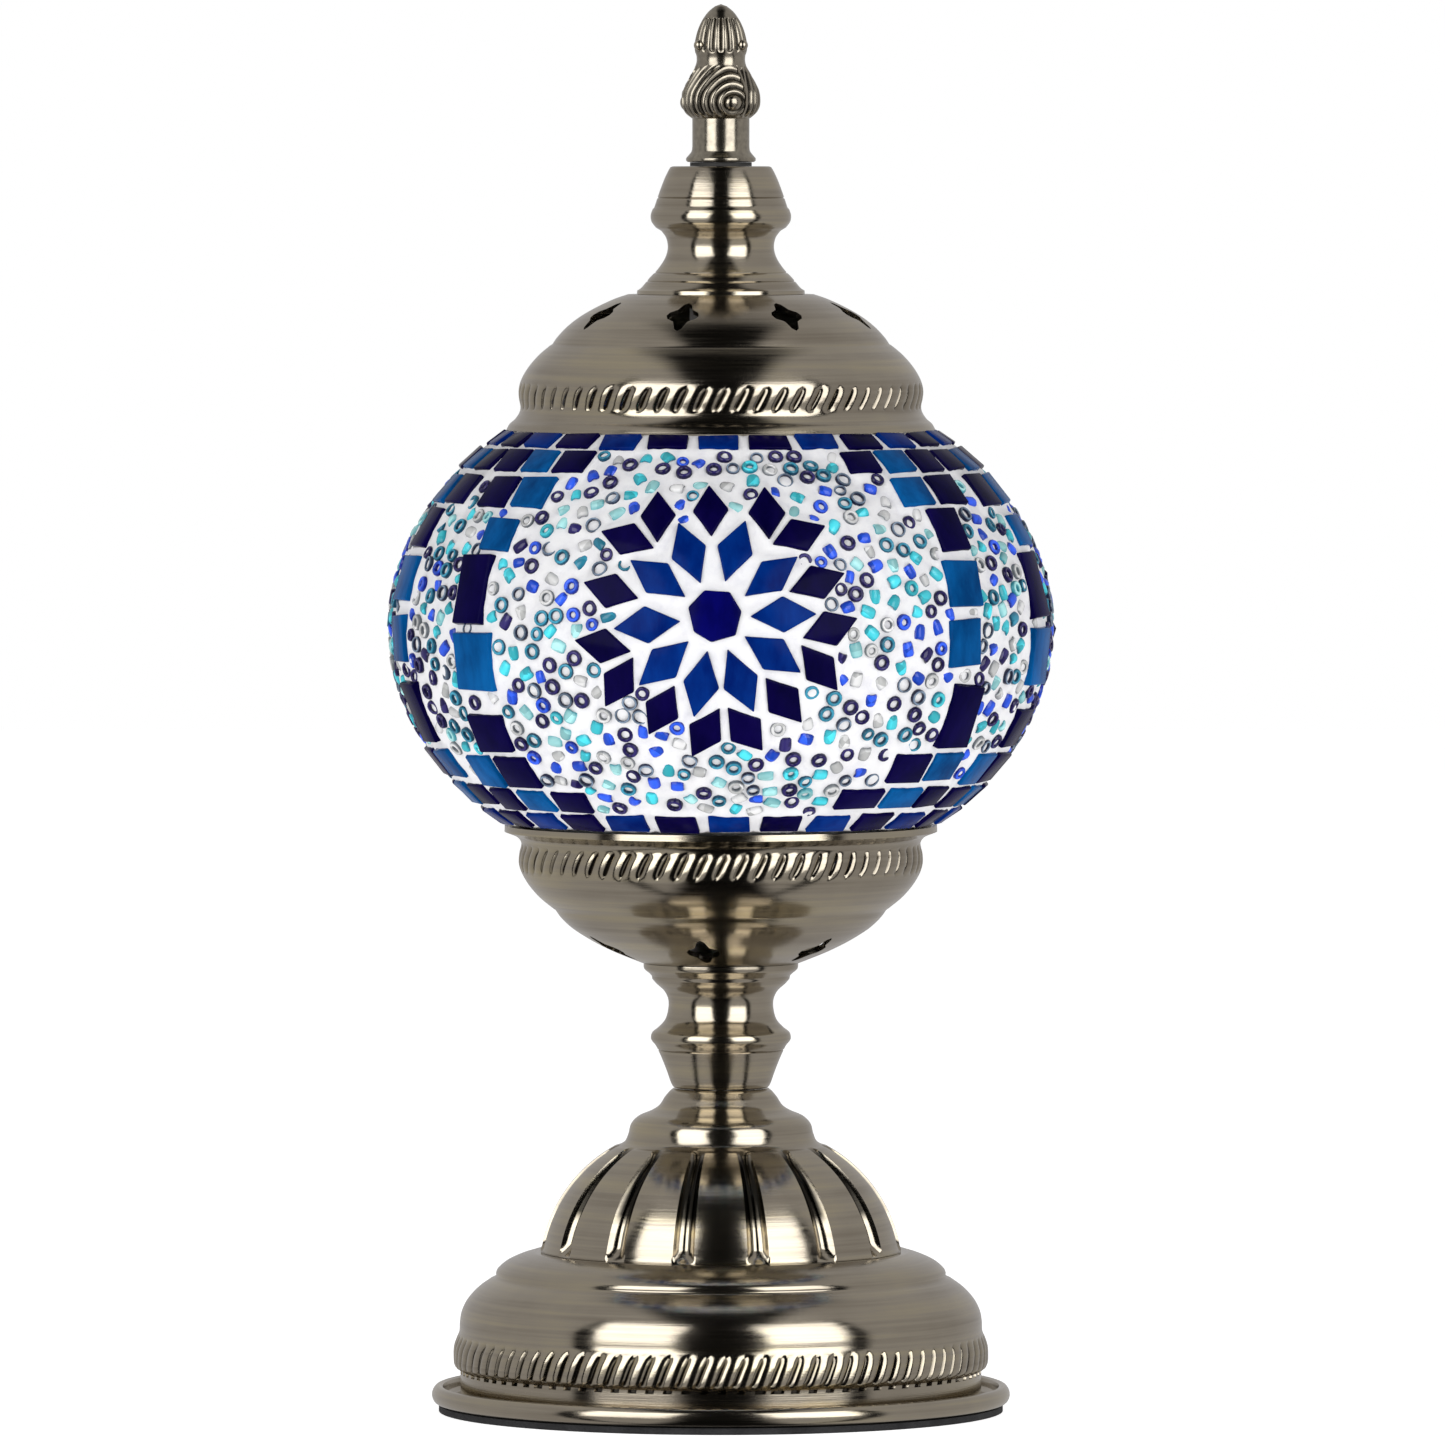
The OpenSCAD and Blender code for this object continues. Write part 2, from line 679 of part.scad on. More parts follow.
felt_pad();
base_pan();
pan_screws();
ballast_ring();
base_shell();
cord_grommet();
fluted_dome();
clamp_disc();
clamp_washer();
clamp_nut();
terminal_block();
terminal_screws();
live_lead();
neutral_lead();
stem_pipe();
stem_spindle();
gallery();
gallery_washer();
harp();
gallery_nut();
harp_stud();
stud_nuts();
socket_cap();
socket_body();
socket_skirt();
screw_sleeve();
contact_spring();
socket_terminals();
contact_plunger();
bulb_cap();
bulb_insulator();
bulb_contact();
bulb_glass();
bulb_stem();
bulb_filament();
globe_glass();
mosaic_grout();
flower_centres();
inner_petals();
outer_petals();
pillar_tiles_navy();
pillar_tiles_blue();
rim_tiles_navy();
rim_tiles_blue();
top_cap();
top_spindle();
finial_washer();
finial();
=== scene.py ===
"""The looks of the mosaic glass table lamp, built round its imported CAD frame."""
import math

import bmesh
import bpy
import numpy as np
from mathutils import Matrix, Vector
from mathutils.bvhtree import BVHTree


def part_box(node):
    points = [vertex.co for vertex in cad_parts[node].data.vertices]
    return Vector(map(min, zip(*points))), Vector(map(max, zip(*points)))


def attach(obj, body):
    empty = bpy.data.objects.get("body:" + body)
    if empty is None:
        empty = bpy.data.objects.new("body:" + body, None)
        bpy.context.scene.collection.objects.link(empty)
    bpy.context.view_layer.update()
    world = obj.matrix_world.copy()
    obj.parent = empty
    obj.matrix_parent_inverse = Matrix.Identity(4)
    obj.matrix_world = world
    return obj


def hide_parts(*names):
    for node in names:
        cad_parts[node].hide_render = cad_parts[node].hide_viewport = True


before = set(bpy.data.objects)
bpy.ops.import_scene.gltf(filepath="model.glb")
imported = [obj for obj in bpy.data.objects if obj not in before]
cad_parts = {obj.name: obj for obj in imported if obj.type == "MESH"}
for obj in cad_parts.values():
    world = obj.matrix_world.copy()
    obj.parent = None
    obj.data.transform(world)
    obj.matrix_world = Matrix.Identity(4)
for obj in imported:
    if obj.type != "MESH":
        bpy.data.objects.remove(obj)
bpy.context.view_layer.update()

MM = 0.001

# --- Sizes, in millimetres, worked out from the frame -----------------------


def low(node):
    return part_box(node)[0] / MM


def high(node):
    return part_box(node)[1] / MM


GLASS_R = high("globe_glass").x                 # the glass is an ellipsoid of this radius,
GLASS_HALF_HEIGHT = GLASS_R * 0.763             # flattened to this half height
GLOBE_Z = (low("globe_glass").z + high("globe_glass").z) / 2
GROUT_THICK = high("mosaic_grout").x - GLASS_R
TILE_THICK = 2.0
TILE_BEVEL = 0.3
SHEET = 1.0                                     # spun metal sheet
PAD_TOP = high("felt_pad").z
LEDGE_Z = high("base_shell").z
DOME_TOP = high("fluted_dome").z
GALLERY_FOOT = low("gallery").z
GALLERY_LIP = high("gallery").z
CAP_FOOT = low("top_cap").z
CAP_TOP = high("top_cap").z
NECK_TOP = high("top_spindle").z
FINIAL_FOOT = low("finial").z
FINIAL_TIP = high("finial").z

# --- Outlines ---------------------------------------------------------------


def smooth(points, steps):
    """A Catmull-Rom line through the points, with so many steps between each two."""
    p = [np.array(q, float) for q in points]
    line = []
    for i in range(len(p) - 1):
        a, b = p[max(i - 1, 0)], p[i]
        c, d = p[i + 1], p[min(i + 2, len(p) - 1)]
        for k in range(steps):
            t = k / steps
            line.append(0.5 * (2 * b + (c - a) * t + (2 * a - 5 * b + 4 * c - d) * t * t
                               + (3 * b - a - 3 * c + d) * t ** 3))
    return line + [p[-1]]


def finer(line, step):
    """The same line, with no two of its points further apart than step."""
    out = [np.array(line[0], float)]
    for q in line[1:]:
        q = np.array(q, float)
        parts = max(1, math.ceil(np.linalg.norm(q - out[-1]) / step))
        start = out[-1]
        out += [start + (q - start) * (i + 1) / parts for i in range(parts)]
    return out


def grooved(line, heights, depth=0.2, width=0.36):
    """A line that climbs all the way, with a fine groove turned into it at each of those heights."""
    points = np.array(line, float)
    for z in heights:
        rows = [(np.interp(h, points[:, 1], points[:, 0]) - cut, h)
                for h, cut in ((z - width / 2, 0), (z, depth), (z + width / 2, 0))]
        under, over = points[:, 1] < z - width / 2, points[:, 1] > z + width / 2
        points = np.concatenate([points[under], rows, points[over]])
    return list(points)


def side_normals(line):
    """Unit normals to the right of a line's direction, averaged at its points."""
    step = np.diff(line, axis=0)
    step /= np.linalg.norm(step, axis=1)[:, None]
    normal = np.stack([step[:, 1], -step[:, 0]], 1)
    at = np.concatenate([normal[:1], normal[:-1] + normal[1:], normal[-1:]])
    at /= np.linalg.norm(at, axis=1)[:, None]
    share = np.ones(len(line))
    share[1:-1] = np.maximum((at[1:-1] * normal[1:]).sum(1), 0.5)
    return at, at / share[:, None]


# --- Meshes -----------------------------------------------------------------


def shade(mesh, smooth_angle=40):
    """Smooth shading, with sharp edges where the faces meet at more than that angle."""
    mesh.shade_smooth()
    mesh.set_sharp_from_angle(angle=math.radians(smooth_angle))


def link_new(name, data):
    """A new object in the scene, with that mesh, light or camera."""
    obj = bpy.data.objects.new(name, data)
    bpy.context.scene.collection.objects.link(obj)
    return obj


def add_object(name, verts_mm, faces, smooth_angle=40):
    mesh = bpy.data.meshes.new(name)
    mesh.from_pydata((np.asarray(verts_mm) * MM).tolist(), [], faces)
    shade(mesh, smooth_angle)
    return link_new(name, mesh)


def ring_faces(rows, around, closed):
    """Quads between rows of points that each go once round the axis."""
    faces = []
    for i in range(rows if closed else rows - 1):
        a, b = i * around, (i + 1) % rows * around
        faces += [(a + j, a + (j + 1) % around, b + (j + 1) % around, b + j) for j in range(around)]
    return faces


def azimuths(around):
    """Angles round the axis from the front, -Y, towards +X."""
    return np.arange(around) * 2 * math.pi / around


def turned_grid(line, around, relief=None):
    """The line turned round the axis: azimuths, radii, heights and depths of relief, row by row."""
    line = np.array(line, float)
    r = np.repeat(line[:, :1], around, 1)
    z = np.repeat(line[:, 1:], around, 1)
    az = azimuths(around)[None, :] + (relief.twist(z) if relief else 0 * z)
    by = relief(az, r, z) if relief else 0 * z
    normal = side_normals(line)[0]
    return az, r + by * normal[:, :1], z + by * normal[:, 1:], by


def turned(line, around, relief=None):
    """The points of the line turned round the axis, row by row."""
    az, r, z, _ = turned_grid(line, around, relief)
    return np.stack([r * np.sin(az), -r * np.cos(az), z], 2).reshape(-1, 3)


def write_hollow(obj, depth, others):
    """Keeps how deep each point lies in a relief, from 0 to 1, for painted shade to darken the metal
    there.
    """
    hollow = obj.data.attributes.new("hollow", "FLOAT", "POINT")
    values = np.concatenate([np.clip(depth, 0, 1).ravel(), np.zeros(others)])
    hollow.data.foreach_set("value", values.astype(np.float32))


def spun_sheet(name, line, around, relief=None, wall=SHEET, step=0.6):
    """A closed shell of sheet metal whose outer face is the line, from foot to top."""
    outer = np.array(finer(line, step))
    inner = outer - side_normals(outer)[1] * wall
    inner[:, 0] = np.maximum(inner[:, 0], 0.05)
    inner = inner[np.unique(np.linspace(0, len(inner) - 1, max(12, len(inner) // 4)).astype(int))]
    back = turned(inner, around, relief).reshape(len(inner), around, 3)[::-1]
    points = np.concatenate([turned(outer, around, relief), back.reshape(-1, 3)])
    obj = add_object(name, points, ring_faces(len(outer) + len(inner), around, True))
    if relief:
        # Painted shade: the deeper a point lies in the relief, the darker its brass is painted.
        depth = -turned_grid(outer, around, relief)[3] / relief.full
        write_hollow(obj, relief.painted_shade(depth, outer[:, 1:]), len(inner) * around)
    return obj


def turned_solid(name, line, around, relief=None):
    """A solid turned from a line that starts and ends on the axis."""
    points = turned(line[1:-1], around, relief)
    rows = len(line) - 2
    faces = ring_faces(rows, around, False)
    foot, tip = len(points), len(points) + 1
    last = (rows - 1) * around
    faces += [(foot, (j + 1) % around, j) for j in range(around)]
    faces += [(tip, last + j, last + (j + 1) % around) for j in range(around)]
    ends = [(0, 0, line[0][1]), (0, 0, line[-1][1])]
    return add_object(name, np.concatenate([points, ends]), faces)


def join_meshes(name, parts, smooth_angle=40):
    """One object from many (points, faces) pairs."""
    points, faces, start = [], [], 0
    for p, f in parts:
        points.append(p)
        faces += [tuple(start + i for i in face) for face in f]
        start += len(p)
    return add_object(name, np.concatenate(points), faces, smooth_angle)


# --- Pressed reliefs --------------------------------------------------------


class RopeRing:
    """A ring of slanted pads with grooves between them. A high foot_power ends them sharply below."""

    def __init__(self, count, middle, half_height, depth, lean, foot_power=4, notch=None):
        self.count, self.middle, self.half_height, self.full = count, middle, half_height, depth
        self.lean, self.foot_power, self.notch = lean, foot_power, notch

    def painted_shade(self, depth, z):
        # Painted shade in the grooves between the pads, darker the deeper they lie.
        return 0.9 * depth ** 1.4

    def twist(self, z):
        """Turns each row of the mesh so that its columns run along the pads."""
        up = np.clip((z - self.middle) / self.half_height, -1.2, 1.2)
        return up * self.lean * 2 * math.pi / self.count

    def __call__(self, az, r, z):
        up = (z - self.middle) / self.half_height
        phase = self.count * (az - self.twist(z)) / (2 * math.pi)
        across = np.abs(2 * (phase - np.floor(phase)) - 1)
        pad = np.sqrt(np.clip(1 - across ** 1.8, 0, 1))
        window = np.clip(1 - np.abs(up) ** np.where(up > 0, 4, self.foot_power), 0, 1)
        depth = window * (1 - pad)
        # Under each pad a notch is cut to the full depth, so it also takes the full painted shade: a
        # painted shadow of the pad on the sheet below.
        if self.notch:
            below = (z > self.notch[0]) & (z < self.notch[1]) & (across < 0.5)
            depth = np.where(below, 1.0, depth)
        return -self.full * depth


class Flutes:
    """Hollow channels with sharp edges that widen as the dome does, and run out at both ends."""

    FULL_AT_R = 33              # the radius where a channel has its full depth
    SHADE_FROM = 36.5            # the height from which the channels take painted shade

    def __init__(self, count, foot, top, half_angle, depth):
        self.count, self.foot, self.top, self.half_angle, self.full = count, foot, top, half_angle, depth

    def painted_shade(self, depth, z):
        """The channels take painted shade in their upper halves, darkest where they are deepest."""
        return 0.97 * np.clip(2.2 * depth, 0, 1) * np.clip((z - self.SHADE_FROM) / 1.8, 0, 1)

    def twist(self, z):
        return 0 * z

    def __call__(self, az, r, z):
        pitch = 2 * math.pi / self.count
        off = np.abs((az / pitch) % 1 - 0.5) * pitch
        upper = np.sqrt(np.clip((self.top - z) / 1.6, 0, 1))
        lower = np.clip((z - self.foot) / 2.6, 0, 1) ** 0.7
        inside = np.clip(1 - (off / self.half_angle) ** 2, 0, 1) ** 0.75
        return -self.full * np.minimum(upper, lower) * inside * r / self.FULL_AT_R


# --- Node materials ---------------------------------------------------------


class NodeTree:
    """Adds nodes to a tree. An input's value may be a number, a colour or another node's output."""

    def __init__(self, owner):
        owner.use_nodes = True
        self.tree = owner.node_tree
        self.tree.nodes.clear()

    def node(self, kind, inputs=None, **settings):
        node = self.tree.nodes.new("ShaderNode" + kind)
        for key, value in settings.items():
            setattr(node, key, value)
        for key, value in (inputs or {}).items():
            socket = node.inputs[key]
            if isinstance(value, bpy.types.NodeSocket):
                self.tree.links.new(value, socket)
            else:
                socket.default_value = value
        return node

    def math(self, operation, a, b=0.0):
        return self.node("Math", {0: a, 1: b}, operation=operation).outputs[0]


class Paint(NodeTree):
    """A node material."""

    def __init__(self, name):
        self.material = bpy.data.materials.new(name)
        super().__init__(self.material)

    def place(self):
        return self.node("TexCoord").outputs["Object"]

    def stretched(self, vector, scale):
        return self.node("Mapping", {"Vector": vector, "Scale": scale}).outputs["Vector"]

    def noise(self, vector, scale, detail=2.0, roughness=0.5):
        return self.node("TexNoise", {"Vector": vector, "Scale": scale, "Detail": detail,
                                      "Roughness": roughness}).outputs["Fac"]

    def ramp(self, factor, stops):
        node = self.node("ValToRGB", {"Fac": factor})
        elements = node.color_ramp.elements
        while len(elements) < len(stops):
            elements.new(0.5)
        for element, (at, colour) in zip(elements, stops):
            element.position = at
            element.color = (*colour, 1)
        return node.outputs["Color"]

    def mix(self, factor, a, b):
        return self.node("Mix", {"Factor": factor, 6: a, 7: b}, data_type="RGBA").outputs[2]

    def blend_value(self, factor, a, b):
        return self.node("Mix", {"Factor": factor, 2: a, 3: b}, data_type="FLOAT").outputs[0]

    def bump(self, height, distance, strength=1.0, normal=None):
        inputs = {"Height": height, "Distance": distance, "Strength": strength}
        if normal:
            inputs["Normal"] = normal
        return self.node("Bump", inputs).outputs["Normal"]

    def finish(self, **inputs):
        shader = self.node("BsdfPrincipled", {k.replace("_", " "): v for k, v in inputs.items()})
        self.node("OutputMaterial", {"Surface": shader.outputs[0]})
        return self.material


def rgb(r, g, b):
    return (r, g, b, 1)


def antique_brass(name="antique_brass", lines=1.0):
    """Spun brass, brushed round the lamp's axis, with painted shade in the hollows of its reliefs."""
    p = Paint(name)
    at = p.place()
    xyz = p.node("SeparateXYZ", {"Vector": at}).outputs
    radius = p.math("SQRT", p.math("ADD", p.math("MULTIPLY", xyz[0], xyz[0]),
                                   p.math("MULTIPLY", xyz[1], xyz[1])))
    on_walls = p.stretched(at, (60, 60, 4200))
    on_tops = p.node("CombineXYZ", {"X": p.math("MULTIPLY", radius, 4200.0),
                                    "Y": p.math("MULTIPLY", xyz[0], 60.0),
                                    "Z": p.math("MULTIPLY", xyz[1], 60.0)}).outputs[0]
    normal = p.node("SeparateXYZ", {"Vector": p.node("NewGeometry").outputs["Normal"]}).outputs[2]
    flat = p.node("MapRange", {"Value": p.math("ABSOLUTE", normal), "From Min": 0.66, "From Max": 0.78})
    fine = p.blend_value(flat.outputs[0], p.noise(on_walls, 1.0, 3.0, 0.65),
                         p.noise(on_tops, 1.0, 3.0, 0.65))
    coarse = p.noise(p.stretched(at, (14, 14, 420)), 1.0, 2.0)
    lines_seen = p.noise(p.stretched(at, (22, 22, 1500)), 1.0, 2.0)
    cloud = p.noise(at, 55.0, 3.0)
    mottled = p.math("ADD", p.math("MULTIPLY", coarse, 0.4), p.math("MULTIPLY", cloud, 0.3))
    tone = p.ramp(p.math("ADD", mottled, p.math("MULTIPLY", lines_seen, 0.3)), [
        (0.32, (0.29, 0.25, 0.20)), (0.50, (0.43, 0.385, 0.315)), (0.68, (0.57, 0.50, 0.34))])
    streaked = p.mix(p.math("MULTIPLY", fine, 0.25), tone, rgb(0.58, 0.52, 0.38))
    # Painted shade: near black where the relief lies deep.
    hollow = p.node("Attribute", attribute_name="hollow").outputs["Fac"]
    streaked = p.mix(hollow, streaked, rgb(0.014, 0.013, 0.011))
    rough = p.node("MapRange", {"Value": fine, "From Min": 0.3, "From Max": 0.7,
                                "To Min": 0.10, "To Max": 0.22}).outputs[0]
    tangent = p.node("Tangent", direction_type="RADIAL", axis="Z").outputs[0]
    return p.finish(Base_Color=streaked, Metallic=1.0, Roughness=rough, Anisotropic=0.7,
                    Anisotropic_Rotation=0.25, Tangent=tangent,
                    Normal=p.bump(fine, 0.00003, 0.5 * lines))


def cast_brass():
    """The finial's cast metal, with painted shade in its hollows."""
    p = Paint("cast_brass")
    at = p.place()
    hollow = p.node("Attribute", attribute_name="hollow").outputs["Fac"]
    grain = p.noise(at, 900.0, 3.0)
    # Painted shade: near black in the hollows of the relief, which are rougher too.
    tone = p.mix(hollow, p.ramp(grain, [(0.3, (0.30, 0.27, 0.22)), (0.7, (0.43, 0.39, 0.31))]),
                 rgb(0.010, 0.009, 0.008))
    rough = p.blend_value(hollow, 0.2, 0.45)
    return p.finish(Base_Color=tone, Metallic=1.0, Roughness=rough, Normal=p.bump(grain, 0.00002, 0.4))


def cut_glass(name, dark, light):
    """Opaque stained glass: streaks of a lighter colour under a wavy, glossy face."""
    p = Paint(name)
    at = p.place()
    streak = p.noise(p.stretched(at, (1, 1, 0.35)), 330.0, 4.0, 0.6)
    blotch = p.noise(at, 85.0, 1.0)
    depth = p.math("ADD", p.math("MULTIPLY", streak, 0.5), p.math("MULTIPLY", blotch, 0.5))
    colour = p.ramp(depth, [(0.34, dark), (0.68, light)])
    wave = p.noise(at, 160.0, 2.0)
    return p.finish(Base_Color=colour, Roughness=p.blend_value(streak, 0.12, 0.22), IOR=1.52,
                    Specular_IOR_Level=0.03, Normal=p.bump(wave, 0.0004, 0.25))


def bead_glass(name, colour, flank_shade_colour, clear=0.0):
    """A seed bead: pressed glass with painted shade at its flanks, and a little lighter or darker than
    the next.
    """
    p = Paint(name)
    at = p.place()
    from_bead_to_bead = p.node("TexVoronoi", {"Vector": at, "Scale": 420.0}).outputs["Color"]
    shade = p.node("SeparateColor", {"Color": from_bead_to_bead}).outputs[0]
    deep = tuple(c * 0.6 for c in colour)
    pale = tuple(min(1.0, c * 1.25 + 0.01) for c in colour)
    # Painted shade: the flanks that face away from the globe's normal take the darker flank colour.
    flank_shade = p.node("Attribute", attribute_name="flank_shade").outputs["Fac"]
    tint = p.mix(flank_shade, p.ramp(shade, [(0.1, deep), (0.9, pale)]), rgb(*flank_shade_colour))
    return p.finish(Base_Color=tint, Roughness=p.blend_value(shade, 0.05, 0.12), IOR=1.5,
                    Transmission_Weight=clear, Specular_IOR_Level=0.4,
                    Normal=p.bump(p.noise(at, 700.0, 1.0), 0.0002, 0.15))


def grout_white():
    p = Paint("grout_white")
    at = p.place()
    grain = p.noise(at, 2600.0, 4.0, 0.7)
    lumps = p.noise(at, 420.0, 3.0)
    tone = p.ramp(p.math("ADD", p.math("MULTIPLY", lumps, 0.7), p.math("MULTIPLY", grain, 0.3)),
                  [(0.3, (0.68, 0.68, 0.72)), (0.5, (0.77, 0.77, 0.785)), (0.8, (0.80, 0.80, 0.80))])
    rough_faces = p.bump(grain, 0.00006, 0.5)
    return p.finish(Base_Color=tone, Roughness=p.blend_value(grain, 0.55, 0.85),
                    Normal=p.bump(lumps, 0.0003, 0.4, rough_faces))


def plain_grained(name, dark, light, rough, metal=0.0, scale=600.0, depth=0.00004, clear=0.0):
    """Moulded, plated or cast stuff: a fine grain in its colour, gloss and relief."""
    p = Paint(name)
    at = p.place()
    grain = p.noise(at, scale, 3.0, 0.6)
    drift = p.noise(at, scale / 14, 2.0)
    tone = p.ramp(p.math("ADD", p.math("MULTIPLY", grain, 0.5), p.math("MULTIPLY", drift, 0.5)),
                  [(0.32, dark), (0.68, light)])
    return p.finish(Base_Color=tone, Metallic=metal, Roughness=p.blend_value(grain, rough, rough + 0.12),
                    Transmission_Weight=clear, Normal=p.bump(grain, depth, 0.6))


def give(obj, material, body=None, stands_for=()):
    """Paints a piece, hangs it on the body it rides on, and hides the CAD nodes it replaces."""
    obj.data.materials.clear()
    obj.data.materials.append(material)
    if body:
        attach(obj, body)
    if stands_for:
        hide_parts(*stands_for)
    return obj


# --- Metalwork --------------------------------------------------------------

BASE_LINE = (
    [(42, PAD_TOP + SHEET + 0.05), (47.8, PAD_TOP + SHEET + 0.05)]
    + smooth([(48.15, PAD_TOP + 1.6), (48.2, 5), (48.2, 6.7)], 2)
    + [(48.2, 7.0), (48.2, 7.15), (48.2, 7.55), (48.25, 7.7)]
    + smooth([(48.35, 7.9), (49.0, 8.1), (49.4, 8.9), (49.5, 10.2), (49.4, 12), (48.9, 13.6),
              (48.4, 14.8), (48.3, 16.6), (47.95, 18.5), (46.9, 20.6), (45.0, 22.7), (42.8, 24.3)], 5)
    + smooth([(41.9, 24.7), (41.6, 25.1), (41.6, 25.6), (41.2, 26.4), (39.6, 27.7), (37.2, 28.8),
              (34.9, LEDGE_Z)], 4)
    + [(30, LEDGE_Z)])

DOME_ARC_R = 27
DOME_ARC_CENTRE = (6.6, 25.4)
DOME_LINE = (
    [(33.3, LEDGE_Z + 0.05), (33.35, 30.0)]
    + [(DOME_ARC_CENTRE[0] + DOME_ARC_R * math.cos(math.radians(t)),
        DOME_ARC_CENTRE[1] + DOME_ARC_R * math.sin(math.radians(t))) for t in range(11, 62, 2)]
    + smooth([(18.7, 49.3), (17.7, 50.0), (17.1, 51.4), (16.6, 53.2), (15.2, 54.6), (12.9, 55.6),
              (11.4, 56.6), (10.4, 58.1), (9.5, 59.2)], 6)
    + [(8.9, DOME_TOP), (5.1, DOME_TOP)])

SPINDLE_LINE = (
    [(5.1, 59.9), (8.6, 59.9)]
    + grooved(smooth([(8.9, 60.1), (9.3, 60.9), (10, 62.9), (10.9, 65.2), (11.8, 67.2), (12.3, 68)], 5),
              (66.9,))
    + smooth([(12.6, 68.3), (12.95, 69.0), (12.7, 70.1), (11.5, 71.1), (10.3, 72.5), (9.75, 74.4),
              (9.75, 76.2), (10.5, 77.8), (11.9, 79.1), (12.7, 80.0)], 6)
    + smooth([(12.8, 80.6), (13.3, 81.1), (14.2, 81.9), (14.3, GALLERY_FOOT - 0.1)], 4))

GALLERY_LINE = (
    [(5.1, GALLERY_FOOT), (14.6, GALLERY_FOOT)]
    + smooth([(15.9, 83.5), (19.6, 85), (22.9, 86.6), (25.5, 88.1), (27.7, 89.6), (29.5, 91.3),
              (30.6, 92.8)], 5)
    + smooth([(31.3, 93.3), (33.6, 95.2), (35.5, 97.4), (36.8, 99.6), (37.35, 101.4),
              (37.3, 103.2), (36.95, 104.6), (37.0, 105.5), (37.8, 106.4), (39.2, 107.0)], 6)
    + [(40.0, 107.3), (39.95, GALLERY_LIP)])

CAP_LINE = (
    smooth([(39.6, CAP_FOOT), (39.0, 182.6), (38.0, 183.5), (37.2, 184.7), (37.0, 185.8),
            (37.3, 187.4), (37.35, 189), (36.8, 190.9), (35.5, 193.1), (33.6, 195.3),
            (31.6, 197.0)], 6)
    + smooth([(31.1, 197.3), (30.2, 198.6), (28.4, 200.5), (26.1, 202.3), (23.2, 204),
              (19.8, 205.6), (17.2, CAP_TOP)], 6)
    + [(6.5, CAP_TOP)])

TOP_SPINDLE_LINE = (
    [(15.5, CAP_TOP + 0.05)]
    + grooved(smooth([(15.45, 207.2), (14.6, 207.8), (13.2, 209.5), (11.6, 211.2), (10.3, 213.2),
                      (9.8, 215.1), (10.1, 216.9), (11.0, 218.2)], 6), (208.9, 210.5))
    + smooth([(12.0, 218.8), (12.8, 219.9), (12.95, 221.1), (12.6, 222.2)], 5)
    + grooved(smooth([(12.3, 222.5), (11.4, 225.2), (10.5, 227.6), (9.7, 229.3),
                      (9.3, NECK_TOP - 0.15)], 5), (224.3,))
    + [(8.9, NECK_TOP), (3.3, NECK_TOP)])

PAN_LINE = (
    [(0, PAD_TOP), (50.4, PAD_TOP)]
    + smooth([(51.6, 1.25), (52.9, 1.7), (53.45, 2.7), (53.35, 3.8), (52.8, 4.6), (52.1, 4.85)], 5)
    + smooth([(51.5, 4.6), (51.3, 3.8), (51.2, 2.9), (50.4, PAD_TOP + SHEET)], 4)
    + [(0, PAD_TOP + SHEET)])


STAR_CORNERS = 24


def prism_faces(n):
    """The faces of a prism whose first n points are one end and whose next n are the other."""
    sides = [(i, (i + 1) % n, n + (i + 1) % n, n + i) for i in range(n)]
    return sides + [tuple(range(n - 1, -1, -1)), tuple(range(n, 2 * n))]


def pierce(obj, count, first, r, z, slope, size, stretch):
    """Cuts four-pointed stars with hollow sides, longer up the slope, square through the sheet."""
    turns = [360 / STAR_CORNERS * i for i in range(STAR_CORNERS)]
    across = np.array([[math.cos(math.radians(t)), math.sin(math.radians(t))] for t in turns])
    reach = [size * (0.62 + 0.38 * abs(math.cos(math.radians(2 * t))) ** 2.2) for t in turns]
    outline = across * np.array(reach)[:, None] * (1, stretch)
    tip = math.radians(slope)
    out, up = np.array([0, -math.cos(tip), math.sin(tip)]), np.array([0, math.sin(tip), math.cos(tip)])
    parts = []
    for k in range(count):
        az = math.radians(first + k * 360 / count)
        turn = np.array([[math.cos(az), math.sin(az), 0], [-math.sin(az), math.cos(az), 0], [0, 0, 1]])
        flat = outline[:, :1] * np.array([[1, 0, 0]]) + outline[:, 1:] * up + np.array([0, -r, z])
        points = np.concatenate([flat - 3 * out, flat + 3 * out]) @ turn
        parts.append((points, prism_faces(STAR_CORNERS)))
    cutter = join_meshes("star_cutter", parts)
    cut = obj.modifiers.new("stars", "BOOLEAN")
    cut.operation, cut.solver, cut.object = "DIFFERENCE", "EXACT", cutter
    bpy.context.view_layer.objects.active = obj
    with bpy.context.temp_override(object=obj, active_object=obj, selected_objects=[obj]):
        bpy.ops.object.modifier_apply(modifier=cut.name)
    bpy.data.objects.remove(cutter)
    shade(obj.data)


BRASS = antique_brass()

pan = turned_solid("pan_dish", finer(PAN_LINE, 2.0), 240)
give(pan, BRASS, "stand", ["base_pan"])

# The notch under the base's pads is a painted shadow as well as a cut.
base_ring = RopeRing(90, middle=11.1, half_height=3.2, depth=0.7, lean=0.35, foot_power=14,
                     notch=(7.1, 7.6))
base = spun_sheet("base_shell_spun", BASE_LINE, 720, base_ring, step=1.1)
give(base, BRASS, "stand", ["base_shell"])

flutes = Flutes(15, foot=LEDGE_Z + 0.1, top=49.3, half_angle=math.radians(3.5), depth=1.7)
dome = spun_sheet("dome_fluted", DOME_LINE, 720, flutes, step=0.8)
give(dome, BRASS, "stand", ["fluted_dome"])

spindle = spun_sheet("stem_turned", SPINDLE_LINE, 160, wall=0.8)
give(spindle, BRASS, "stand", ["stem_spindle"])

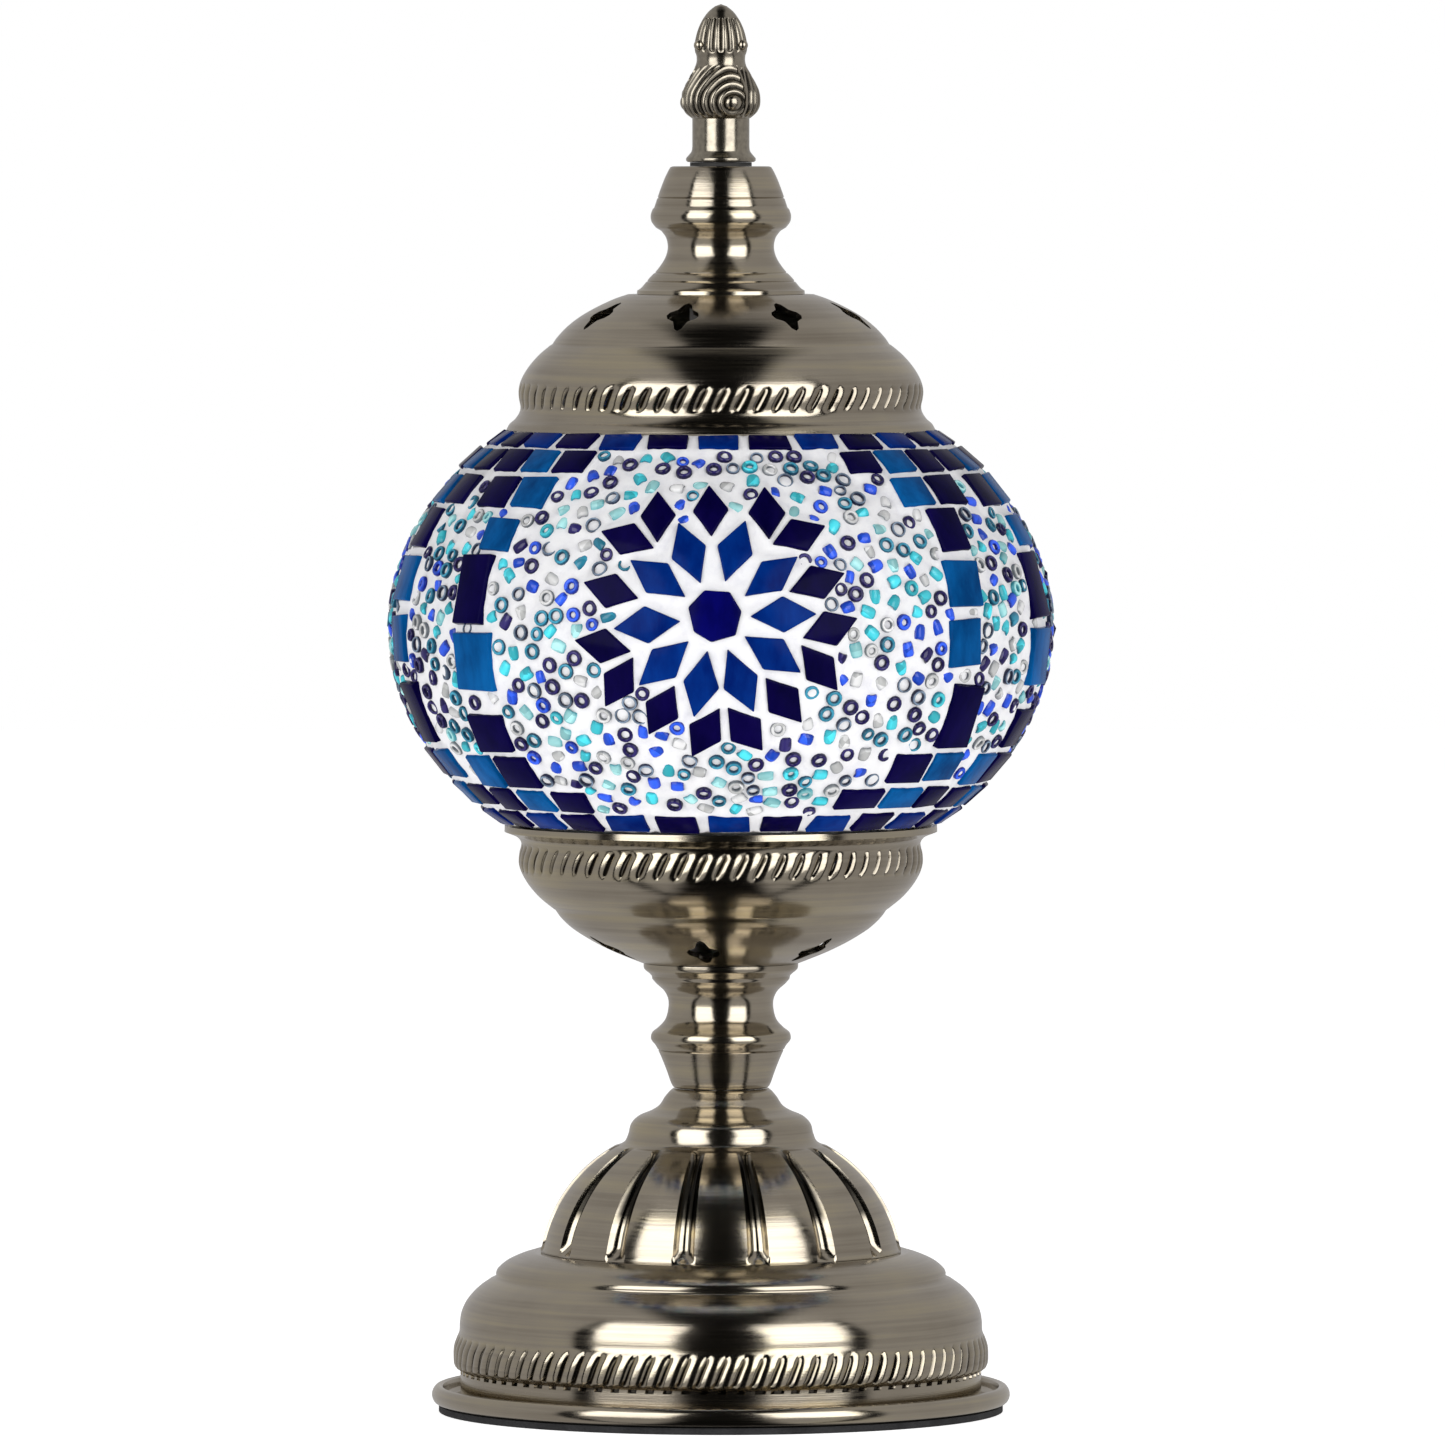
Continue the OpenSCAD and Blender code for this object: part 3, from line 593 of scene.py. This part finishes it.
gallery_ring = RopeRing(64, middle=102.5, half_height=2.65, depth=0.75, lean=0.32)
gallery = spun_sheet("gallery_dish", GALLERY_LINE, 640, gallery_ring, step=0.9)
pierce(gallery, 6, first=-8.5, r=21.4, z=86.0, slope=-63, size=3.15, stretch=1.65)
give(gallery, BRASS, "stand", ["gallery"])

cap_ring = RopeRing(64, middle=187.75, half_height=2.45, depth=0.75, lean=0.32)
cap = spun_sheet("cap_pressed", CAP_LINE, 640, cap_ring, step=0.9)
pierce(cap, 8, first=-16.2, r=25.0, z=202.9, slope=58, size=3.1, stretch=1.5)
give(cap, BRASS, "top_cap", ["top_cap"])

top_spindle = spun_sheet("top_turned", TOP_SPINDLE_LINE, 160, wall=0.8)
give(top_spindle, BRASS, "top_cap", ["top_spindle"])

# --- Finial -----------------------------------------------------------------

FINIAL_LINE = (
    [(0, FINIAL_FOOT + 12), (3.05, FINIAL_FOOT + 12), (3.05, FINIAL_FOOT), (6.1, FINIAL_FOOT)]
    + smooth([(6.4, 231.1), (6.4, 231.6), (5.9, 232.2), (5.4, 232.9), (5.27, 233.8)], 5)
    + [(5.27, 238.4), (5.27, 238.9)]
    + smooth([(5.6, 239.1), (6.6, 240.0), (7.2, 241.2), (7.3, 242.6), (7.1, 244), (6.4, 245.5),
              (5.6, 247), (4.9, 248.2), (4.5, 249.3), (4.5, 250.4), (4.75, 251.2), (4.85, 252.2),
              (4.7, 253.5), (4.25, 255.2), (3.5, 256.9), (2.4, 258.5), (1.1, 259.6)], 8)
    + [(0, FINIAL_TIP)])
FINIAL_BORE_R = 3.2
KNOT_SPAN = (239.0, 248.8)
KNOT_Z = 241.7
KNOT_R = 7.2
BUD_Z = 250.9
BALL_R = 1.75               # the balls that the knot's leaves wrap round
FIRST_BALL = math.radians(20)
LEAF_PITCH = 1.65
LEAF_DEPTH = 0.55
BUD_RIB_DEPTH = 0.5
BUD_RIBS = 18
STUD_R = 1.0
STUD_CIRCLE_R = 4.9


def finial_relief(az, z):
    """Leaves wrapped in arcs over three balls, each ending at an upright rib, under a ribbed bud."""
    third = 2 * math.pi / 3
    turn = (az - FIRST_BALL) / third
    side = (turn - np.floor(turn + 0.8)) * third * KNOT_R
    away = np.hypot(side, (z - KNOT_Z) * 1.1)
    leaves = LEAF_DEPTH * (np.abs(np.sin(math.pi * (away - BALL_R) / LEAF_PITCH)) ** 1.1 - 1)
    ball = 0.85 * np.sqrt(np.clip(1 - (away / BALL_R) ** 2, 0, 1)) - LEAF_DEPTH
    knot = np.where(away < BALL_R, ball, leaves)
    rib = np.where(np.abs(side - 2.8) < 0.34, 0, -LEAF_DEPTH)
    knot = np.where((side > 2.2) & (z > KNOT_Z - 2.4), rib, knot)
    on_knot = np.clip((z - KNOT_SPAN[0]) / 0.8, 0, 1) * np.clip(KNOT_SPAN[1] - z, 0, 1)
    bud = np.abs(np.sin(BUD_RIBS / 2 * az)) ** 0.8 - 1
    on_bud = np.clip((z - BUD_Z) / 0.6, 0, 1) * np.clip((FINIAL_TIP - 0.3 - z) / 1.6, 0, 1)
    return on_knot * knot + BUD_RIB_DEPTH * on_bud * bud


def small_ball(centre, radius, rows=10, around=18):
    """The points and faces of a ball."""
    line = [(radius * math.sin(math.pi * i / rows), -radius * math.cos(math.pi * i / rows))
            for i in range(1, rows)]
    points = turned(line, around)
    faces = ring_faces(rows - 1, around, False)
    faces += [tuple(reversed(range(around))), tuple((rows - 2) * around + j for j in range(around))]
    return points + np.array(centre), faces


class FinialRelief:
    """The relief of the finial's outside, which leaves its bore smooth."""

    twist = Flutes.twist

    def __call__(self, az, r, z):
        return np.where(r > FINIAL_BORE_R, finial_relief(az, z), 0)


def make_finial(around=300):
    line = finer(FINIAL_LINE, 0.23)
    body = turned_solid("finial_cast", line, around, FinialRelief())
    depth = -turned_grid(line[1:-1], around, FinialRelief())[3] / LEAF_DEPTH
    # Painted shade in the hollows between the leaves and the bud's ribs.
    write_hollow(body, np.clip(depth * 1.3 - 0.15, 0, 1), 2)
    return body


CAST = cast_brass()
give(make_finial(), CAST, "finial", ["finial"])
studs = join_meshes("finial_studs", [
    small_ball((STUD_CIRCLE_R * math.sin(a), -STUD_CIRCLE_R * math.cos(a), 252.4), STUD_R)
    for a in (math.radians(55 + t) for t in (0, 70, 180, 250))])
give(studs, antique_brass("stud_brass", 0.3), "finial")

# --- Mosaic -----------------------------------------------------------------


def surface_normals(points):
    """Outward normals of the globe at points near it."""
    n = np.array(points, float)
    n[:, 2] -= GLOBE_Z
    n = n / np.array([GLASS_R, GLASS_R, GLASS_HALF_HEIGHT]) ** 2
    return n / np.linalg.norm(n, axis=1)[:, None]


def tangents(out):
    """The two directions along the globe's surface, level and upright, where its normal is out."""
    across = np.cross(out, [0, 0, 1.0])
    across /= np.linalg.norm(across)
    return across, np.cross(out, across)


def tile_faces(node):
    """The outer face of every tile in a CAD node, as arrays of corners in millimetres."""
    bm = bmesh.new()
    bm.from_mesh(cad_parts[node].data)
    bmesh.ops.remove_doubles(bm, verts=bm.verts, dist=1e-6)
    bmesh.ops.dissolve_limit(bm, angle_limit=0.03, verts=bm.verts, edges=bm.edges)
    faces = []
    for face in bm.faces:
        centre = np.array(face.calc_center_median()) / MM
        if np.dot(face.normal, surface_normals([centre])[0]) > 0.8:
            faces.append(np.array([v.co for v in face.verts]) / MM)
    bm.free()
    return faces


def bevelled_tiles(name, faces, rng):
    """Flat glass tiles on those faces, each a hair out of level, with rounded rims."""
    bm = bmesh.new()
    rims = []
    for corners in faces:
        middle = corners.mean(0)
        out = surface_normals([middle])[0]
        lift = rng.uniform(-0.18, -0.04)
        tip = rng.normal(0, 0.018, 2)
        across, up = tangents(out)
        flat = corners - middle
        raised = lift + flat @ across * tip[0] + flat @ up * tip[1]
        top = corners + out * raised[:, None]
        top = middle + (top - middle) * 0.985
        tops = [bm.verts.new(p * MM) for p in top]
        feet = [bm.verts.new((p - out * (TILE_THICK - 0.1)) * MM) for p in corners]
        n = len(corners)
        bm.faces.new(tops)
        bm.faces.new(feet[::-1])
        for i in range(n):
            bm.faces.new([tops[i], feet[i], feet[(i + 1) % n], tops[(i + 1) % n]])
        bm.edges.ensure_lookup_table()
        for i in range(n):
            rims.append(bm.edges.get([tops[i], tops[(i + 1) % n]]))
            rims.append(bm.edges.get([tops[i], feet[i]]))
    bmesh.ops.bevel(bm, geom=rims, offset=TILE_BEVEL * MM, segments=3, profile=0.5, affect="EDGES",
                    clamp_overlap=True)
    bmesh.ops.recalc_face_normals(bm, faces=bm.faces)
    mesh = bpy.data.meshes.new(name)
    bm.to_mesh(mesh)
    bm.free()
    shade(mesh, 38)
    return link_new(name, mesh)


NAVY = cut_glass("navy_glass", (0.001, 0.0005, 0.020), (0.0035, 0.0014, 0.050))
BLUE = cut_glass("blue_glass", (0.0, 0.006, 0.09), (0.001, 0.030, 0.21))
SEA = cut_glass("sea_glass", (0.0, 0.036, 0.14), (0.002, 0.105, 0.34))
INK = cut_glass("ink_glass", (0.001, 0.001, 0.045), (0.002, 0.002, 0.13))

tile_nodes = {
    "flower_centres": (INK, "navy_glass"), "inner_petals": (BLUE, "blue_glass"),
    "outer_petals": (NAVY, "navy_glass"), "pillar_tiles_navy": (NAVY, "navy_glass"),
    "pillar_tiles_blue": (SEA, "blue_glass"), "rim_tiles_navy": (NAVY, "navy_glass"),
    "rim_tiles_blue": (BLUE, "blue_glass")}
all_tiles = []
for seed, (node, (material, slot)) in enumerate(tile_nodes.items()):
    faces = tile_faces(node)
    all_tiles += faces
    tiles = bevelled_tiles(node + "_cut", faces, np.random.default_rng(seed))
    give(tiles, material, "globe", [node])


def tile_tree():
    """A search tree over the tiles' outer faces."""
    points, polygons = [], []
    for corners in all_tiles:
        polygons.append(list(range(len(points), len(points) + len(corners))))
        points += [tuple(p) for p in corners]
    return BVHTree.FromPolygons(points, polygons)


TILES = tile_tree()


def on_globe(az, height_angle, above_glass):
    """Points that far above the glass, in millimetres."""
    a, b = GLASS_R + above_glass, GLASS_HALF_HEIGHT + above_glass
    r = a * np.cos(height_angle)
    return np.stack([r * np.sin(az), -r * np.cos(az), GLOBE_Z + b * np.sin(height_angle)], -1)


GROUT_END = math.radians(50.6)
GROUT_SINK = 0.35           # how far the visual's grout lies under the CAD's, between the beads
GROUT_RISE = 0.6            # and how much higher it stands against the tiles


def make_grout(around=540, rows=124):
    """The grout rises to the tiles' rims and lies lower, and a little lumpy, between the beads."""
    heights = np.linspace(-GROUT_END, GROUT_END, rows)
    az = azimuths(around)
    rng = np.random.default_rng(7)
    lumps = rng.normal(0, 1, (rows, around))
    for axis in (0, 1):
        lumps = (np.roll(lumps, 1, axis) + 2 * lumps + np.roll(lumps, -1, axis)) / 4
    grid_az, grid_h = np.meshgrid(az, heights)
    flat = on_globe(grid_az, grid_h, GROUT_THICK).reshape(-1, 3)
    to_tile = np.array([TILES.find_nearest(Vector(p))[3] for p in flat]).reshape(rows, around)
    near = np.clip((2.2 - to_tile) / 1.4, 0, 1)
    rise = GROUT_THICK - GROUT_SINK + GROUT_RISE * near * near * (3 - 2 * near) + 0.12 * lumps
    outer = on_globe(grid_az, grid_h, 0)
    radial = surface_normals(outer.reshape(-1, 3)).reshape(rows, around, 3)
    outer = outer + radial * rise[..., None]
    inner = on_globe(*np.meshgrid(az, heights[::-8]), 0.06)
    points = np.concatenate([outer.reshape(-1, 3), inner.reshape(-1, 3)])
    return add_object("grout_bed", points, ring_faces(rows + len(inner), around, True), 60)


GROUT = grout_white()
give(make_grout(), GROUT, "globe", ["mosaic_grout"])

# --- Seed beads -------------------------------------------------------------


def bead_shape(radius, half_height, hole, around=14, rows=10):
    """A small glass ring, rounded all over."""
    mid, wall = (radius + hole) / 2, (radius - hole) / 2
    line = []
    for i in range(rows):
        t = 2 * math.pi * i / rows
        c, s = math.cos(t), math.sin(t)
        line.append((mid + wall * math.copysign(abs(c) ** 0.75, c),
                     half_height * math.copysign(abs(s) ** 0.75, s)))
    return turned(line, around), ring_faces(rows, around, True)


FLOWER_R = 19.5                 # no beads nearer than this to a flower's middle
BEAD_END = math.radians(44)     # height angle beyond which there are only rim tiles
BEAD_TOP = 1.7                  # no bead stands higher than this above the glass
BEAD_RADII = (1.2, 1.55)
BEAD_GAP = 0.12
BEAD_CELL = 3.2                 # beads reach no further than into the next cell of this size
FLOWERS = [c.mean(0) for c in tile_faces("flower_centres")]


def scatter_beads(rng, tries=42000):
    """Places for beads between the tiles: no two overlap, and none is on a tile."""
    h = np.arcsin(rng.uniform(-math.sin(BEAD_END), math.sin(BEAD_END), tries))
    az = rng.uniform(0, 2 * math.pi, tries)
    radii = np.sort(rng.uniform(*BEAD_RADII, tries))[::-1]
    points = on_globe(az, h, GROUT_THICK)
    kept, cells = [], {}
    for p, r in zip(points, radii):
        near = TILES.find_nearest(Vector(p), 3)
        if near[0] is not None and near[3] < r * 0.92 + 0.35:
            continue
        if min(np.linalg.norm(p - c) for c in FLOWERS) < FLOWER_R:
            continue
        cell = tuple((p // BEAD_CELL).astype(int))
        close = (q for dx in (-1, 0, 1) for dy in (-1, 0, 1) for dz in (-1, 0, 1)
                 for q in cells.get((cell[0] + dx, cell[1] + dy, cell[2] + dz), ()))
        if any(np.linalg.norm(p - kept[q][0]) < (r + kept[q][1]) * 0.97 + BEAD_GAP for q in close):
            continue
        cells.setdefault(cell, []).append(len(kept))
        kept.append((p, r))
    return kept


def bead_turn(out, lean, spin):
    """A rotation that takes +Z to a direction that leans from out, the globe's normal."""
    across, up = tangents(out)
    flat = math.cos(spin) * across + math.sin(spin) * up
    axis = math.cos(lean) * out + math.sin(lean) * flat
    side = np.cross(axis, out if lean > 0.1 else flat)
    side /= np.linalg.norm(side)
    return np.stack([side, np.cross(axis, side), axis])


# Each kind of bead: its colour and the colour of the painted shade on its flanks, its share, how clear
# it is, how many of it lie on their side, and the width of its hole
BEAD_KINDS = {
    "ink": ((0.018, 0.012, 0.10), (0.006, 0.004, 0.035), 0.17, 0.0, 0.12, 0.46),
    "outlined": ((0.16, 0.22, 0.30), (0.010, 0.014, 0.04), 0.10, 0.0, 0.0, 0.66),
    "teal": ((0.03, 0.24, 0.36), (0.004, 0.045, 0.09), 0.12, 0.0, 0.1, 0.52),
    "royal": ((0.02, 0.09, 0.70), (0.004, 0.006, 0.17), 0.20, 0.0, 0.8, 0.36),
    "turquoise": ((0.06, 0.62, 0.72), (0.004, 0.16, 0.24), 0.17, 0.1, 0.85, 0.36),
    "aqua": ((0.42, 0.88, 0.90), (0.02, 0.30, 0.38), 0.11, 0.2, 0.8, 0.4),
    "clear": ((0.88, 0.89, 0.88), (0.13, 0.15, 0.17), 0.13, 0.3, 0.6, 0.45)}


def write_flank_shade(obj):
    """Keeps how far each point faces away from the globe's own normal, for painted shade to darken the
    glass there.
    """
    values = {key: np.empty(3 * len(obj.data.vertices), np.float32) for key in ("co", "normal")}
    for key, value in values.items():
        obj.data.vertices.foreach_get(key, value)
    out = surface_normals(values["co"].reshape(-1, 3) / MM)
    facing = (values["normal"].reshape(-1, 3) * out).sum(1)
    flank_shade = obj.data.attributes.new("flank_shade", "FLOAT", "POINT")
    flank_shade.data.foreach_set("value", np.clip((0.8 - facing) / 0.45, 0, 1).astype(np.float32))


def disc(radius, height, around=10):
    """A low domed plug of grout, closed below."""
    points = np.concatenate([turned([(radius, 0), (radius * 0.6, height * 0.8)], around),
                             [(0, 0, height), (0, 0, -0.6)]])
    top, foot = 2 * around, 2 * around + 1
    faces = ring_faces(2, around, False)
    faces += [(around + j, around + (j + 1) % around, top) for j in range(around)]
    faces += [((j + 1) % around, j, foot) for j in range(around)]
    return points, faces


def make_beads():
    rng = np.random.default_rng(11)
    places = scatter_beads(rng)
    names = list(BEAD_KINDS)
    odds = np.array([BEAD_KINDS[n][2] for n in names])
    kinds = rng.choice(len(names), len(places), p=odds / odds.sum())
    sets = {n: [] for n in names}
    plugs = []
    for (p, r), kind in zip(places, kinds):
        name = names[kind]
        out = surface_normals([p])[0]
        lying = rng.random() < BEAD_KINDS[name][4]
        spin = rng.uniform(0, 2 * math.pi)
        if lying:
            lean, half, hole = rng.uniform(1.3, 1.57), r * rng.uniform(0.78, 1.0), r * 0.33
            r *= 0.9
        else:
            lean, half, hole = abs(rng.normal(0, 0.14)), r * 0.5, r * BEAD_KINDS[name][5]
            hole *= rng.uniform(0.9, 1.1)
        reach = half * math.cos(lean) + r * math.sin(lean)
        centre = p + out * (min(BEAD_TOP - reach, 1.45) - GROUT_THICK)
        points, faces = bead_shape(r, half, hole)
        sets[name].append((points @ bead_turn(out, lean, spin) + centre, faces))
        if not lying:
            points, faces = disc(hole + 0.1, rng.uniform(0.05, 0.25))
            plugs.append((points @ bead_turn(out, lean, spin) + centre, faces))
    for name, parts in sets.items():
        colour, flank_shade_colour, _, clear = BEAD_KINDS[name][:4]
        beads = join_meshes("beads_" + name, parts, 60)
        # The flanks of the beads take painted shade.
        write_flank_shade(beads)
        give(beads, bead_glass("bead_" + name, colour, flank_shade_colour, clear), "globe")
    give(join_meshes("bead_plugs", plugs, 60), GROUT, "globe")


make_beads()

# --- CAD nodes that stay ----------------------------------------------------

STEEL = plain_grained("zinc_steel", (0.36, 0.36, 0.37), (0.62, 0.62, 0.60), 0.3, metal=1.0, scale=900.0)
BAKELITE = plain_grained("black_phenolic", (0.012, 0.012, 0.013), (0.035, 0.033, 0.032), 0.3)
CERAMIC = plain_grained("white_ceramic", (0.78, 0.76, 0.72), (0.88, 0.87, 0.84), 0.18, scale=300.0)
GOLDEN = plain_grained("bright_brass", (0.62, 0.45, 0.18), (0.80, 0.62, 0.30), 0.18, metal=1.0)
NICKEL = plain_grained("nickel", (0.55, 0.53, 0.50), (0.75, 0.73, 0.70), 0.16, metal=1.0, scale=1200.0)
RUBBER = plain_grained("black_rubber", (0.018, 0.018, 0.018), (0.045, 0.045, 0.045), 0.6)
IRON = plain_grained("cast_iron", (0.04, 0.04, 0.042), (0.11, 0.105, 0.10), 0.6, metal=0.6, depth=0.0002)
NYLON = plain_grained("white_plastic", (0.72, 0.72, 0.69), (0.84, 0.84, 0.81), 0.4)
BROWN = plain_grained("brown_wire", (0.11, 0.035, 0.012), (0.17, 0.06, 0.02), 0.4)
SKY = plain_grained("blue_wire", (0.01, 0.06, 0.28), (0.02, 0.10, 0.40), 0.4)
FELT = plain_grained("black_felt", (0.006, 0.006, 0.007), (0.03, 0.03, 0.032), 0.85, scale=2500.0,
                     depth=0.0003)
PHOSPHOR = plain_grained("phosphor", (0.75, 0.42, 0.08), (0.90, 0.60, 0.16), 0.5, scale=1500.0)
FROST = plain_grained("frosted_glass", (0.80, 0.84, 0.88), (0.92, 0.94, 0.96), 0.45, scale=1800.0,
                      depth=0.0001, clear=0.5)
CLEAR = plain_grained("bulb_glass", (0.93, 0.95, 0.95), (0.98, 0.99, 0.99), 0.03, scale=200.0,
                      depth=0.00002, clear=0.95)

kept_nodes = {
    STEEL: ["pan_screws", "clamp_disc", "clamp_washer", "clamp_nut", "terminal_screws", "stem_pipe",
            "gallery_washer", "harp", "gallery_nut", "harp_stud", "stud_nuts", "contact_spring",
            "socket_terminals"],
    BAKELITE: ["socket_cap", "socket_skirt", "bulb_insulator"], CERAMIC: ["socket_body"],
    GOLDEN: ["screw_sleeve", "contact_plunger"], NICKEL: ["bulb_cap", "bulb_contact"],
    RUBBER: ["cord_grommet", "finial_washer"], IRON: ["ballast_ring"], NYLON: ["terminal_block"],
    BROWN: ["live_lead"], SKY: ["neutral_lead"], FELT: ["felt_pad"], PHOSPHOR: ["bulb_filament"],
    FROST: ["globe_glass"], CLEAR: ["bulb_glass", "bulb_stem"]}
for material, nodes in kept_nodes.items():
    for node in nodes:
        give(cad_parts[node], material)

# --- Stage, light and camera ------------------------------------------------

CAMERA_DISTANCE = 2.77
CAMERA_HEIGHT = 0.2425
FRAME_SPAN = 0.267          # what the picture spans at the lamp
AIM = Vector((0.0003, 0, 0.1274))
SENSOR = 36
FLOOR_SIDE = 6.0
SOFTBOX_AZIMUTH = 38.5
SOFTBOX_AIM = Vector((0, 0, 0.13))

# The dark strip and the dark flags of the world, in degrees: where each fades in
STRIP_EDGE = (15, 22)       # to the strip's sides
STRIP_END = (10, 30)        # towards the back, where there is no strip
FLAG_AZIMUTH = 63.5         # the middle of a flag, to the left and to the right
FLAG_EDGE = (4, 6)
FLAG_TOP = (44, 50)


def make_stage():
    """A pale floor. It has no backdrop, so that the lamp can be seen from every side."""
    half = FLOOR_SIDE / 2
    corners = [(-half, -half, 0), (half, -half, 0), (half, half, 0), (-half, half, 0)]
    floor = add_object("floor", np.array(corners) / MM, [(0, 1, 2, 3)])
    p = Paint("pale_floor")
    grain = p.noise(p.place(), 40.0, 3.0)
    tone = p.ramp(grain, [(0.3, (0.86, 0.86, 0.87)), (0.7, (0.89, 0.89, 0.89))])
    floor.data.materials.append(p.finish(Base_Color=tone, Roughness=p.blend_value(grain, 0.8, 0.9),
                                         Emission_Color=rgb(1, 1, 1), Emission_Strength=0.73))
    floor.visible_glossy = False


def aim_at(obj, target):
    """Turns a light or a camera towards the target."""
    obj.rotation_euler = (target - obj.location).to_track_quat("-Z", "Y").to_euler()


def add_softbox(name, az, elevation, distance, width, height, power):
    """A rectangular light that faces the lamp from that azimuth (0 is the camera's side)."""
    light = bpy.data.lights.new(name, "AREA")
    light.shape, light.size, light.size_y, light.energy = "RECTANGLE", width, height, power
    obj = link_new(name, light)
    a, e = math.radians(az), math.radians(elevation)
    towards = Vector((math.sin(a) * math.cos(e), -math.cos(a) * math.cos(e), math.sin(e)))
    obj.location = SOFTBOX_AIM + distance * towards
    aim_at(obj, SOFTBOX_AIM)
    obj.visible_camera = False


def make_world():
    """White to the camera; grey, with a dark strip and two dark flags, in reflections."""
    world = bpy.data.worlds.new("studio")
    bpy.context.scene.world = world
    t = NodeTree(world)

    def step_at(value, start, end):
        """0 up to start and 1 from end, both in degrees."""
        return t.node("MapRange", {"Value": value, "From Min": math.radians(start),
                                   "From Max": math.radians(end)}).outputs[0]

    x, y, z = t.node("SeparateXYZ", {"Vector": t.node("TexCoord").outputs["Generated"]}).outputs
    turn = t.math("ABSOLUTE", t.math("ARCTAN2", x, t.math("MULTIPLY", y, -1.0)))
    beside_strip = step_at(t.math("ABSOLUTE", t.math("ARCSINE", x)), *STRIP_EDGE)
    behind = step_at(t.math("ARCSINE", y), *STRIP_END)
    from_flag = t.math("ABSOLUTE", t.math("SUBTRACT", turn, math.radians(FLAG_AZIMUTH)))
    beside_flag = step_at(from_flag, *FLAG_EDGE)
    above_flag = step_at(t.math("ARCSINE", z), *FLAG_TOP)
    open_sky = t.math("MULTIPLY", t.math("MAXIMUM", beside_strip, behind),
                      t.math("MAXIMUM", beside_flag, above_flag))
    grey = t.node("Mix", {"Factor": open_sky, 6: rgb(0.006, 0.006, 0.006), 7: rgb(0.45, 0.44, 0.44)},
                  data_type="RGBA")
    around = t.node("Background", {"Color": grey.outputs[2], "Strength": 1.0})
    backdrop = t.node("Background", {"Color": rgb(1, 1, 1), "Strength": 1.0})
    mix = t.node("MixShader", {0: t.node("LightPath").outputs["Is Camera Ray"], 1: around.outputs[0],
                               2: backdrop.outputs[0]})
    t.node("OutputWorld", {"Surface": mix.outputs[0]})


def make_camera():
    camera = bpy.data.cameras.new("camera")
    camera.sensor_width = SENSOR
    camera.lens = SENSOR * math.dist((0, CAMERA_HEIGHT, CAMERA_DISTANCE), (0, AIM.z, 0)) / FRAME_SPAN
    camera.clip_start, camera.clip_end = 0.05, 50
    obj = link_new("camera", camera)
    obj.location = (AIM.x, -CAMERA_DISTANCE, CAMERA_HEIGHT)
    aim_at(obj, AIM)
    bpy.context.scene.camera = obj


make_stage()
for name, az in (("softbox_left", -SOFTBOX_AZIMUTH), ("softbox_right", SOFTBOX_AZIMUTH)):
    add_softbox(name, az, elevation=19, distance=1.6, width=1.07, height=1.35, power=12)
make_world()
make_camera()
bpy.context.scene.view_settings.view_transform = "Standard"

bpy.context.view_layer.update()
